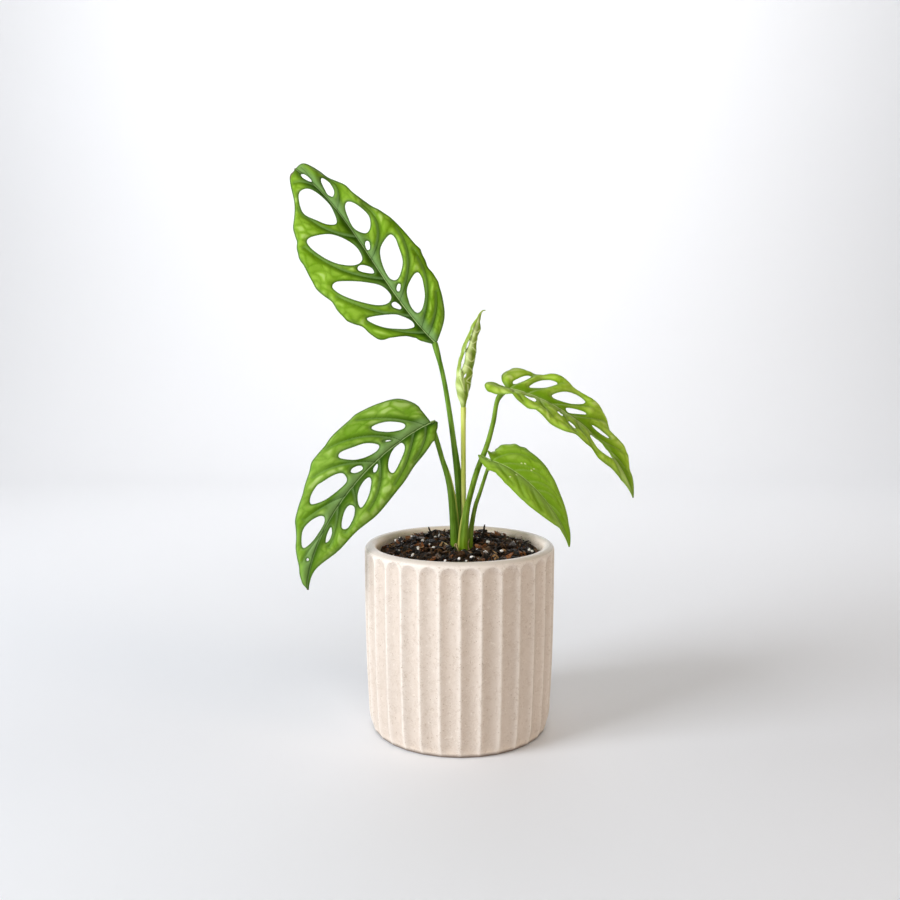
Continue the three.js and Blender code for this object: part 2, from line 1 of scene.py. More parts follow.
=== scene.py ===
import math
import bmesh
import bpy
import numpy as np
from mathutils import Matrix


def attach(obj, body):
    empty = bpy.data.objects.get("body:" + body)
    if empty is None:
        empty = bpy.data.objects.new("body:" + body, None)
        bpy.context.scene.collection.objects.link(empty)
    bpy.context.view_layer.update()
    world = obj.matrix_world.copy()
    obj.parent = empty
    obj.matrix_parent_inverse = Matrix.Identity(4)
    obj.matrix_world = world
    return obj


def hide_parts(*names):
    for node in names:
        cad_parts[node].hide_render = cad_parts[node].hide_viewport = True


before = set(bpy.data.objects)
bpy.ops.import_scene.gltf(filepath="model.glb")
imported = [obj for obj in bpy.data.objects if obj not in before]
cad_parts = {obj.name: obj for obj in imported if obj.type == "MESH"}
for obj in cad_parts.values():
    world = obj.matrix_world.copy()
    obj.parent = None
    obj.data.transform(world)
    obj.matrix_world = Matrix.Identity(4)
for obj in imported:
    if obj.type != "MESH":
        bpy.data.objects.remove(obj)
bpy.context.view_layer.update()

# All shapes below are worked out in millimetres, in the frame of the part, and written in metres.
metre = 0.001
farAway = 30.0           # mm, stands for "nowhere near" in a field of distances
print("frame loaded:", len(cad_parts), "nodes")


# Curves and noise

latticeSide = 64         # random numbers along each side of a noise's table


# Uniform Catmull-Rom value at s (0 to 1) through a list of numbers or of rows.
def catmull(rows, s):
    p = np.asarray(rows, float)
    flat = p.ndim == 1
    if flat:
        p = p[:, None]
    last = len(p) - 1
    t = np.clip(s, 0, 1) * last
    i = np.minimum(t.astype(int), last - 1)
    f = (t - i)[..., None]
    q = np.vstack([2 * p[0] - p[1], p, 2 * p[-1] - p[-2]])
    a, b, c, d = q[i], q[i + 1], q[i + 2], q[i + 3]
    out = 0.5 * (2 * b + (c - a) * f + (2 * a - 5 * b + 4 * c - d) * f**2 + (3 * b - a - 3 * c + d) * f**3)
    return out[..., 0] if flat else out


# Centripetal Catmull-Rom through points: knots stand apart by the root of the distance between them.
def centripetal(points):
    perSpan = 24
    p = np.asarray(points, float)
    q = np.vstack([2 * p[0] - p[1], p, 2 * p[-1] - p[-2]])
    knot = np.r_[0, np.cumsum(np.linalg.norm(np.diff(q[:, :3], axis=0), axis=1) ** 0.5)]
    out = []
    for k in range(1, len(q) - 2):
        last = k == len(q) - 3
        t = np.linspace(knot[k], knot[k + 1], perSpan + last, endpoint=last)[:, None]
        k0, k1, k2, k3 = knot[k - 1:k + 3]
        a1 = ((k1 - t) * q[k - 1] + (t - k0) * q[k]) / (k1 - k0)
        a2 = ((k2 - t) * q[k] + (t - k1) * q[k + 1]) / (k2 - k1)
        a3 = ((k3 - t) * q[k + 1] + (t - k2) * q[k + 2]) / (k3 - k2)
        b1 = ((k2 - t) * a1 + (t - k0) * a2) / (k2 - k0)
        b2 = ((k3 - t) * a2 + (t - k1) * a3) / (k3 - k1)
        out.append(((k2 - t) * b1 + (t - k1) * b2) / (k2 - k1))
    return np.vstack(out)


# The same path with `count` points at equal steps of arc length, with its unit tangents.
def evenPath(path, count):
    step = np.linalg.norm(np.diff(path[:, :3], axis=0), axis=1)
    at = np.r_[0, np.cumsum(step)]
    s = np.linspace(0, at[-1], count)
    even = np.stack([np.interp(s, at, path[:, k]) for k in range(path.shape[1])], -1)
    tangent = np.gradient(even[:, :3], axis=0)
    return even, tangent / np.linalg.norm(tangent, axis=1, keepdims=True)


# Two unit directions square to the given ones: one that is square to the y axis too, and the third.
def squareTo(direction):
    side = np.cross([0.0, 1.0, 0.0], direction)
    side /= np.linalg.norm(side, axis=-1, keepdims=True)
    return side, np.cross(direction, side)


# A step from 0 at low to 1 at high, 3 t^2 - 2 t^3 between them.
def smoothstep(low, high, x):
    t = np.clip((x - low) / (high - low), 0, 1)
    return t * t * (3 - 2 * t)


# Smooth noise from -1 to 1 on a lattice of random numbers, `size` mm apart.
def softNoise(x, y, size, seed):
    n = latticeSide
    table = np.random.default_rng(seed).uniform(-1, 1, (n, n))
    gx, gy = x / size, y / size
    ix, iy = np.floor(gx).astype(int), np.floor(gy).astype(int)
    fx, fy = smoothstep(0, 1, gx - ix), smoothstep(0, 1, gy - iy)
    pick = lambda i, j: table[i % n, j % n]
    low = pick(ix, iy) * (1 - fx) + pick(ix + 1, iy) * fx
    high = pick(ix, iy + 1) * (1 - fx) + pick(ix + 1, iy + 1) * fx
    return low * (1 - fy) + high * fy


# Cells round points that stand off the middles of a lattice's fields by up to jitter / 2 of a step:
# how far inside its cell a place lies (the second nearest point's distance less the nearest's), and
# the cell's own tone.
def cellField(x, y, sizeX, sizeY, seed, jitter=0.7):
    n = latticeSide
    draw = np.random.default_rng(seed).uniform(0, 1, (n, n, 3))
    gx, gy = x / sizeX, y / sizeY
    ix, iy = np.floor(gx).astype(int), np.floor(gy).astype(int)
    first = np.full(x.shape, farAway)
    second = np.full(x.shape, farAway)
    cellTone = np.zeros(x.shape)
    for di in (-1, 0, 1):
        for dj in (-1, 0, 1):
            drawn = draw[(ix + di) % n, (iy + dj) % n]
            px = ix + di + (1 - jitter) / 2 + jitter * drawn[..., 0]
            py = iy + dj + (1 - jitter) / 2 + jitter * drawn[..., 1]
            far = np.hypot(gx - px, gy - py)
            closer = far < first
            second = np.where(closer, first, np.minimum(second, far))
            cellTone = np.where(closer, drawn[..., 2], cellTone)
            first = np.where(closer, far, first)
    return second - first, cellTone


# Distance from points (x, y) to a path of straight pieces, with how far along the path (0 to 1) its
# nearest place is, and where.
def distanceTo(path, x, y):
    best = np.full(x.shape, 1e9)
    along = np.zeros(x.shape)
    footX, footY = np.zeros(x.shape), np.zeros(x.shape)
    pieces = len(path) - 1
    for k in range(pieces):
        (ax, ay), (bx, by) = path[k], path[k + 1]
        dx, dy = bx - ax, by - ay
        t = np.clip(((x - ax) * dx + (y - ay) * dy) / max(dx * dx + dy * dy, 1e-12), 0, 1)
        fx, fy = ax + t * dx, ay + t * dy
        far = np.hypot(x - fx, y - fy)
        closer = far < best
        best = np.where(closer, far, best)
        along = np.where(closer, (k + t) / pieces, along)
        footX, footY = np.where(closer, fx, footX), np.where(closer, fy, footY)
    return best, along, footX, footY


# Meshes

def tone(*bytes255):  # a colour as a picture program shows it, 0 to 255, as linear light
    c = np.array(bytes255) / 255
    return tuple(np.where(c <= 0.04045, c / 12.92, ((c + 0.055) / 1.055) ** 2.4).tolist())


# A mesh from points in mm and from faces with equal numbers of corners. fields are numbers kept on
# its points. It is smooth, with sharp edges past sharpDegrees, or flat where that is 0.
def addMesh(name, points, faces, fields=None, sharpDegrees=None):
    mesh = bpy.data.meshes.new(name)
    mesh.vertices.add(len(points))
    mesh.vertices.foreach_set("co", (np.asarray(points) * metre).astype(np.float32).ravel())
    faces = np.asarray(faces)
    mesh.loops.add(faces.size)
    mesh.loops.foreach_set("vertex_index", faces.astype(np.int32).ravel())
    mesh.polygons.add(len(faces))
    mesh.polygons.foreach_set("loop_start", np.arange(0, faces.size, faces.shape[1], dtype=np.int32))
    mesh.update(calc_edges=True)
    for key, values in (fields or {}).items():
        layer = mesh.attributes.new(key, "FLOAT", "POINT")
        layer.data.foreach_set("value", values.astype(np.float32).ravel())
    mesh.polygons.foreach_set("use_smooth", np.full(len(faces), sharpDegrees != 0))
    if sharpDegrees:
        mesh.set_sharp_from_angle(angle=math.radians(sharpDegrees))
    piece = bpy.data.objects.new(name, mesh)
    bpy.context.scene.collection.objects.link(piece)
    return piece


# Faces of a grid of rows x columns points, row after row. wrap joins the last column to the first.
def gridFaces(rows, columns, wrap):
    j, i = np.meshgrid(np.arange(rows - 1), np.arange(columns if wrap else columns - 1), indexing="ij")
    a = j * columns + i
    b = j * columns + (i + 1) % columns
    return np.stack([a, b, b + columns, a + columns], -1).reshape(-1, 4)


# Rings of points (rings, around, 3) with one more ring at each end: the end ring drawn in on its own
# middle, until only a tiny face is left for closeEnds.
def closedSkin(rings):
    share = 0.002
    drawnIn = lambda ring: ring.mean(0) + share * (ring - ring.mean(0))
    return np.concatenate([drawnIn(rings[0])[None], rings, drawnIn(rings[-1])[None]])


# The skin of a bar along a path: at angle a a point stands off the path by
# radius * (cos(a) * side + flat * sin(a) * up).
def barSkin(path, tangent, angles, radius, flat=1.0):
    side, up = squareTo(tangent)
    ring = side[:, None] * np.cos(angles)[:, None] + flat * up[:, None] * np.sin(angles)[:, None]
    return closedSkin(path[:, None, :3] + ring * radius[..., None])


# One face with all the first ring's corners, and one with all the last ring's, closes a grid of
# rows x columns points at both ends.
def closeEnds(piece, rows, columns):
    mesh = bmesh.new()
    mesh.from_mesh(piece.data)
    mesh.verts.ensure_lookup_table()
    bottom = [mesh.verts[i] for i in range(columns)]
    top = [mesh.verts[(rows - 1) * columns + i] for i in range(columns)]
    mesh.faces.new(bottom[::-1])
    mesh.faces.new(top)
    mesh.to_mesh(piece.data)
    mesh.free()


# The same number for the points on a sheet's upper side and for those on its underside.
def bothSides(values):
    return np.r_[values, values]


# A piece's material and body, and the solids' nodes that it takes the place of.
def finishPiece(piece, material, replaced=()):
    piece.data.materials.append(material)
    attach(piece, "root")
    if replaced:
        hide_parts(*replaced)
    return piece


# Materials

class Wire:  # a node's output that can be used in sums
    def __init__(self, finish, socket):
        self.finish, self.socket = finish, socket

    def math(self, operation, *values):
        sockets = dict(enumerate([self, *values]))
        return self.finish.node("ShaderNodeMath", {"operation": operation}, sockets)

    def __add__(self, other):
        return self.math("ADD", other)

    def __mul__(self, other):
        return self.math("MULTIPLY", other)

    def __sub__(self, other):
        return self.math("SUBTRACT", other)

    def __rsub__(self, other):
        return self.finish.node("ShaderNodeMath", {"operation": "SUBTRACT"}, {0: other, 1: self})

    __radd__, __rmul__ = __add__, __mul__

    # A smooth step from toLow, at or below low, to toHigh, at or above high. low may be the larger.
    def ramp(self, low, high, toLow=0.0, toHigh=1.0):
        return self.finish.node("ShaderNodeMapRange", {"interpolation_type": "SMOOTHSTEP"},
                                {"Value": self, "From Min": low, "From Max": high, "To Min": toLow,
                                 "To Max": toHigh})


class Finish:  # a material under construction
    def __init__(self, name, **shader):
        self.material = bpy.data.materials.new(name)
        self.material.use_nodes = True
        self.tree = self.material.node_tree
        self.tree.nodes.clear()
        self.shader = self.tree.nodes.new("ShaderNodeBsdfPrincipled")
        output = self.tree.nodes.new("ShaderNodeOutputMaterial")
        self.tree.links.new(self.shader.outputs[0], output.inputs["Surface"])
        for key, value in shader.items():
            self.set(key.replace("_", " "), value)

    def node(self, kind, settings, sockets, out=0):
        made = self.tree.nodes.new(kind)
        for key, value in settings.items():
            setattr(made, key, value)
        for key, value in sockets.items():
            if isinstance(value, Wire):
                self.tree.links.new(value.socket, made.inputs[key])
            else:
                made.inputs[key].default_value = value
        return Wire(self, made.outputs[out])

    def set(self, key, value):
        if isinstance(value, Wire):
            self.tree.links.new(value.socket, self.shader.inputs[key])
        else:
            self.shader.inputs[key].default_value = value

    def field(self, name):  # a number stored on the mesh's points
        return self.node("ShaderNodeAttribute", {"attribute_name": name}, {}, "Fac")

    def place(self):  # the object's own coordinates, in metres
        return self.node("ShaderNodeTexCoord", {}, {}, "Object")

    def noise(self, scale, detail=2.0, **sockets):
        inputs = {"Vector": self.place(), "Scale": scale, "Detail": detail, **sockets}
        return self.node("ShaderNodeTexNoise", {}, inputs, "Fac")

    def cells(self, scale, feature="F1", out="Distance"):
        return self.node("ShaderNodeTexVoronoi", {"feature": feature},
                         {"Vector": self.place(), "Scale": scale}, out)

    def blend(self, factor, first, second):  # from the first colour at 0 to the second at 1
        rgba = lambda c: c if isinstance(c, Wire) else (*c, 1.0)
        sockets = {0: factor, 6: rgba(first), 7: rgba(second)}
        return self.node("ShaderNodeMix", {"data_type": "RGBA"}, sockets, 2)

    def bump(self, height, distance, strength=1.0):
        self.set("Normal", self.node("ShaderNodeBump", {},
                                     {"Height": height, "Distance": distance, "Strength": strength}))


# Camera, light and floor

cameraSet = {"place": (-0.006, -0.603, 0.2446), "lookDown": 6.303, "lens": 38.6, "sensor": 36.0}
lightSet = {
    "key": {"place": (-1.32, -0.72, 0.68), "aim": (0, 0, 0.15), "size": 0.75, "power": 26.5,
            "color": (0.91, 0.95, 1.0)},
    "fill": {"place": (1.2, -0.7, 0.5), "aim": (0, 0, 0.1), "size": 0.5, "power": 4.4,
             "color": (1.0, 0.81, 0.63)},
    "top": {"place": (0.1, -0.95, 0.95), "aim": (0, 0.05, 0.12), "size": 0.5, "power": 3.4,
            "color": (1.0, 0.98, 0.95)},
    "wall": {"place": (0, 0.5, 1.7), "aim": (0, 1.9, 1.25), "size": 1.6, "power": 27.0,
             "color": (1.0, 1.0, 1.0)},
}
worldSet = {"color": (1.0, 0.955, 0.90), "strength": 0.18}
floorSet = {"color": (0.87, 0.88, 0.905), "halfWidth": 7.0, "near": -7.0, "back": 1.1, "bend": 0.8,
            "top": 2.2}


# The camera stands at its place and looks along +Y, turned down by lookDown degrees.
def makeCamera():
    data = bpy.data.cameras.new("camera")
    data.lens = cameraSet["lens"]
    data.sensor_width = cameraSet["sensor"]
    camera = bpy.data.objects.new("camera", data)
    camera.location = cameraSet["place"]
    camera.rotation_euler = (math.radians(90 - cameraSet["lookDown"]), 0, 0)
    bpy.context.scene.collection.objects.link(camera)
    bpy.context.scene.camera = camera


# Square lamps, each turned to look from its place at its aim, and a sky of one colour.
def makeLights():
    for name, light in lightSet.items():
        data = bpy.data.lights.new(name, "AREA")
        data.size = light["size"]
        data.energy = light["power"]
        data.color = light["color"]
        lamp = bpy.data.objects.new(name, data)
        lamp.location = light["place"]
        away = np.subtract(light["place"], light["aim"])
        flat = math.hypot(away[0], away[1])
        lamp.rotation_euler = (math.atan2(flat, away[2]), 0, math.atan2(away[0], -away[1]))
        bpy.context.scene.collection.objects.link(lamp)
    world = bpy.data.worlds.new("studio")
    world.use_nodes = True
    background = world.node_tree.nodes["Background"]
    background.inputs["Color"].default_value = (*worldSet["color"], 1)
    background.inputs["Strength"].default_value = worldSet["strength"]
    bpy.context.scene.world = world


# The floor: flat, then a quarter circle up into a back wall.
def makeFloor():
    f = floorSet
    turn = np.linspace(0, math.pi / 2, 24)
    y = np.r_[f["near"], f["back"], f["back"] + f["bend"] * np.sin(turn[1:]), f["back"] + f["bend"]]
    z = np.r_[0, 0, f["bend"] * (1 - np.cos(turn[1:])), f["top"]]
    x = np.array([-f["halfWidth"], f["halfWidth"]])
    points = np.stack([np.tile(x, len(y)), np.repeat(y, 2), np.repeat(z, 2)], -1) / metre
    floor = addMesh("floor", points, gridFaces(len(y), 2, False), sharpDegrees=60)
    paint = Finish("floorPaint", Roughness=0.6)
    paint.set("Base Color", (*f["color"], 1))
    floor.data.materials.append(paint.material)


bpy.context.scene.view_settings.view_transform = "Standard"
makeCamera()
makeLights()
makeFloor()
print("camera, lights and floor made")


# Pot

potSet = {
    "radius": 60.0, "height": 119.0, "footRadius": 53.3, "footRound": 18.0, "waistRadius": 58.2,
    "wallSwell": 3, "lipTube": 3.85, "floorTop": 9.0, "innerFoot": 50.5, "innerCorner": 5.0,
    "flutes": 30, "fluteDepth": 2.1, "fluteTop": 116.7, "ridgeSoft": 0.035, "perFlute": 16,
    "fluteStart": 0.85,  # radians of the foot's curve over which the flutes begin
    "fluteEnd": 60.0,    # degrees up the lip's curve, past every arch
    "centre": 0.02,      # share of a flat disc's radius left for its closing face
    "bareTop": 1.0,      # mm up from the floor without glaze
    # the painted light inside begins between the same radii as the inner glaze
    "glazeAndLightEdge": (5.0, 0.5),  # mm outside the mouth's radius, between which the inner glaze begins
    "rings": {"foot": 8, "base": 26, "wall": 40, "arches": 36, "lip": 22, "inside": 12, "floor": 5},
}


# The pot's skin: radius and height follow the outline, which goes from the foot's middle round the
# base, up the wall, over the lip and down inside to the middle of the inner floor. Each flute takes
# depth * (2d - d^2) off along the outline's outward direction, where d is 0 on the ridge or on the
# arch over the flute and 1 in the flute's middle, with d softened at the ridge. Its fields are lip,
# hollow, and inside, which goes by radius and so takes in a part of the base's curve as well.
def potSkin():
    p = potSet
    n = p["rings"]
    lipR, lipZ = p["radius"] - p["lipTube"], p["height"] - p["lipTube"]
    halfFlute = math.pi * p["radius"] / p["flutes"]
    archZ = p["fluteTop"] - halfFlute
    foot = np.linspace(p["centre"], 1, n["foot"]) * (p["footRadius"] - 2)
    turn = np.radians(np.linspace(0, 90, n["base"]))
    wallZ = np.r_[np.linspace(p["footRound"] + 2, archZ - 2, n["wall"]),
                  np.linspace(archZ, lipZ, n["arches"])]
    left = (lipZ - wallZ) / (lipZ - p["footRound"])
    lip = np.radians(np.r_[np.linspace(3, 40, n["lip"]), np.linspace(45, 180, n["lip"])])
    inner = p["floorTop"] + p["innerCorner"]
    innerZ = np.linspace(lipZ - 3, inner, n["inside"])
    floorR = (p["innerFoot"] - p["innerCorner"]) * np.linspace(1, p["centre"], n["floor"])
    parts = [  # radius, height, outward direction (radius, height) and share of the flutes
        (foot, 0, 0, -1, 0),
        (p["footRadius"] + (p["waistRadius"] - p["footRadius"]) * np.sin(turn),
         p["footRound"] * (1 - np.cos(turn)), np.sin(turn), -np.cos(turn),
         smoothstep(0, p["fluteStart"], turn)),
        (p["radius"] + (p["waistRadius"] - p["radius"]) * left ** p["wallSwell"], wallZ, 1, 0, 1),
        (lipR + p["lipTube"] * np.cos(lip), lipZ + p["lipTube"] * np.sin(lip), np.cos(lip), np.sin(lip),
         lip < math.radians(p["fluteEnd"])),
        (np.interp(innerZ, [inner, lipZ], [p["innerFoot"], lipR - p["lipTube"]]), innerZ, -1, 0, 0),
        (floorR, p["floorTop"], 0, 1, 0),
    ]
    columnsOf = lambda k: np.concatenate([part[k] + 0.0 * part[0] for part in parts])
    r, z, outR, outZ, share = [columnsOf(k)[:, None] for k in range(5)]
    columns = p["flutes"] * p["perFlute"]
    angle = 2 * math.pi * np.arange(columns) / columns - math.pi / 2
    across = (np.arange(columns) % p["perFlute"]) / p["perFlute"] * 2 - 1
    ring = np.hypot(across[None, :], np.clip((z - archZ) / halfFlute, 0, None))
    d = np.clip(1 - ring, 0, None)
    soft = np.sqrt(d * d + p["ridgeSoft"] ** 2) - p["ridgeSoft"]
    hollow = share * (2 * soft - soft * soft)
    radius = r - p["fluteDepth"] * hollow * outR
    height = z - p["fluteDepth"] * hollow * outZ
    points = np.stack([radius * np.cos(angle), radius * np.sin(angle), height + 0 * radius], -1)
    mouth = p["radius"] - 2 * p["lipTube"]
    first, full = p["glazeAndLightEdge"]
    level = np.ones(columns)
    fields = {"lip": smoothstep(p["fluteTop"] - 1, p["fluteTop"] + 1.5, z) * level, "hollow": hollow,
              "inside": smoothstep(mouth + first, mouth + full, r) * (z > p["bareTop"]) * level}
    return points, fields


stoneSet = {  # colours, and the sizes of the marks as how many fit in a metre
    "cream": (0.745, 0.655, 0.575), "deep": (0.55, 0.435, 0.34), "speck": (0.30, 0.18, 0.10),
    # the lip's darker colour is painted shade and the inside's lighter colour is painted light
    "lip": (0.68, 0.60, 0.525), "inside": (0.95, 0.80, 0.65),
    # the dark foot colour on the next line is a painted contact shadow
    "fibre": (0.92, 0.84, 0.75), "footShadow": (0.16, 0.11, 0.08), "speckSize": 520.0, "fibreSize": 330.0,
    "curls": ({"size": 1.0, "level": 0.50, "tint": "fibre", "strength": 0.45},
              {"size": 1.25, "level": 0.56, "tint": "deep", "strength": 0.95},
              {"size": 0.8, "level": 0.44, "tint": "speck", "strength": 0.26}),
    "specks": ({"size": 1.0, "above": 0.74, "strength": 0.75},
               {"size": 2.2, "above": 0.58, "strength": 0.5}),
}


# Stoneware: cream, with painted shade deeper in the hollows and a painted highlight on the ridges, with
# short light and dark curls like fibres, fine brown specks, a smoother glazed lip painted darker as
# shade, a smoother glazed inside painted lighter as light, and a dark band round the foot that is a
# painted contact shadow.
def stoneFinish():
    s = stoneSet
    f = Finish("stoneware")
    base = f.blend(f.noise(210, 5.0).ramp(0.38, 0.72) * 0.14, s["cream"], s["deep"])
    # painted shade: darker in the flutes' hollows
    base = f.blend(f.field("hollow").ramp(0.1, 0.75) * 0.38, base, s["deep"])
    # painted highlight: lighter along the flutes' ridges, in the fibre colour
    base = f.blend(f.field("hollow").ramp(0.0, 0.22, 0.5, 0.0), base, s["fibre"])
    # painted shade: the lip darker and greyer on its upward face
    base = f.blend(f.field("lip") * 0.8, base, s["lip"])
    # painted light: the inner wall lighter and warmer
    base = f.blend(f.field("inside") * 0.9, base, s["inside"])
    plain = f.field("lip").ramp(0, 1, 1.0, 0.25)
    lines = []
    for curls in s["curls"]:  # a contour line of a twisted noise, broken into short pieces by another
        size = s["fibreSize"] * curls["size"]
        contour = (f.noise(size, 1.0, Distortion=1.6) - curls["level"]).math("ABSOLUTE")
        pieces = f.noise(size * 0.62, 1.0).ramp(0.47, 0.54)
        line = contour.ramp(0.004, 0.026, 1.0, 0.0) * pieces * plain
        base = f.blend(line * curls["strength"], base, s[curls["tint"]])
        lines.append(line)
    for specks in s["specks"]:  # the middle of each cell whose own random number is high enough
        size = s["speckSize"] * specks["size"]
        dot = f.cells(size).ramp(0.08, 0.20, 1.0, 0.0)
        chosen = f.node("ShaderNodeSeparateColor", {}, {0: f.cells(size, out="Color")})
        chosen = chosen.ramp(specks["above"], specks["above"] + 0.03)
        base = f.blend(dot * chosen * specks["strength"] * plain, base, s["speck"])
    height = f.node("ShaderNodeSeparateXYZ", {}, {0: f.place()}, 2)
    # painted contact shadow: a dark band round the bottom of the foot
    base = f.blend(height.ramp(0.0006, 0.0034, 0.9, 0.0), base, s["footShadow"])
    f.set("Base Color", base)
    glazed = (f.field("lip") + f.field("inside")).ramp(0, 1, 0.55, 0.2)
    f.set("Roughness", glazed + (f.noise(300) - 0.5) * 0.1)
    f.bump(f.noise(1100, 3.0) * 0.5 + lines[0] * 0.8 + lines[1] * -0.8, 0.00016, 0.6)
    return f.material


# The pot: its skin's grid, closed by one face at both ends, smooth but for edges past 60 degrees.
def makePot():
    points, fields = potSkin()
    rows, columns = points.shape[:2]
    pot = addMesh("flutedPot", points.reshape(-1, 3), gridFaces(rows, columns, True), fields)
    closeEnds(pot, rows, columns)
    pot.data.polygons.foreach_set("use_smooth", np.ones(len(pot.data.polygons), bool))
    pot.data.set_sharp_from_angle(angle=math.radians(60))
    finishPiece(pot, stoneFinish(), ["pot"])


makePot()
print("pot made")


# Blades

bladeSet = {
    "ribSweep": 1.5, "scallop": 0.019, "thickness": 0.5, "edgeThickness": 0.34,
    "cell": 0.72, "rowsPerLength": 1.22, "firstRow": 0.008,  # the grid's step in mm, and its rows
    "puff": 1.1, "puffWidth": 2.6,
    "veinDepth": 0.5, "veinWidth": 0.7, "grooveDepth": 0.4, "grooveWidth": 0.8,
    "quilt": 0.3, "quiltEdge": 0.42, "droop": 0.5, "droopReach": 1.1,
    "ribDepth": 1.1, "ribWidth": 0.8, "veinUnder": 0.3, "veinUnderWidth": 0.55,
    "wobble": 2.4, "wobbleSize": 6, "slant": 0.75, "cellSize": (4.9, 7.0), "cloudSizes": (11, 4),
    "sidesApart": 40,                # mm that each half is moved out by in the field of cells
    "veinApart": 3, "edgeApart": 2,  # mm added to a distance taken across the midrib
}
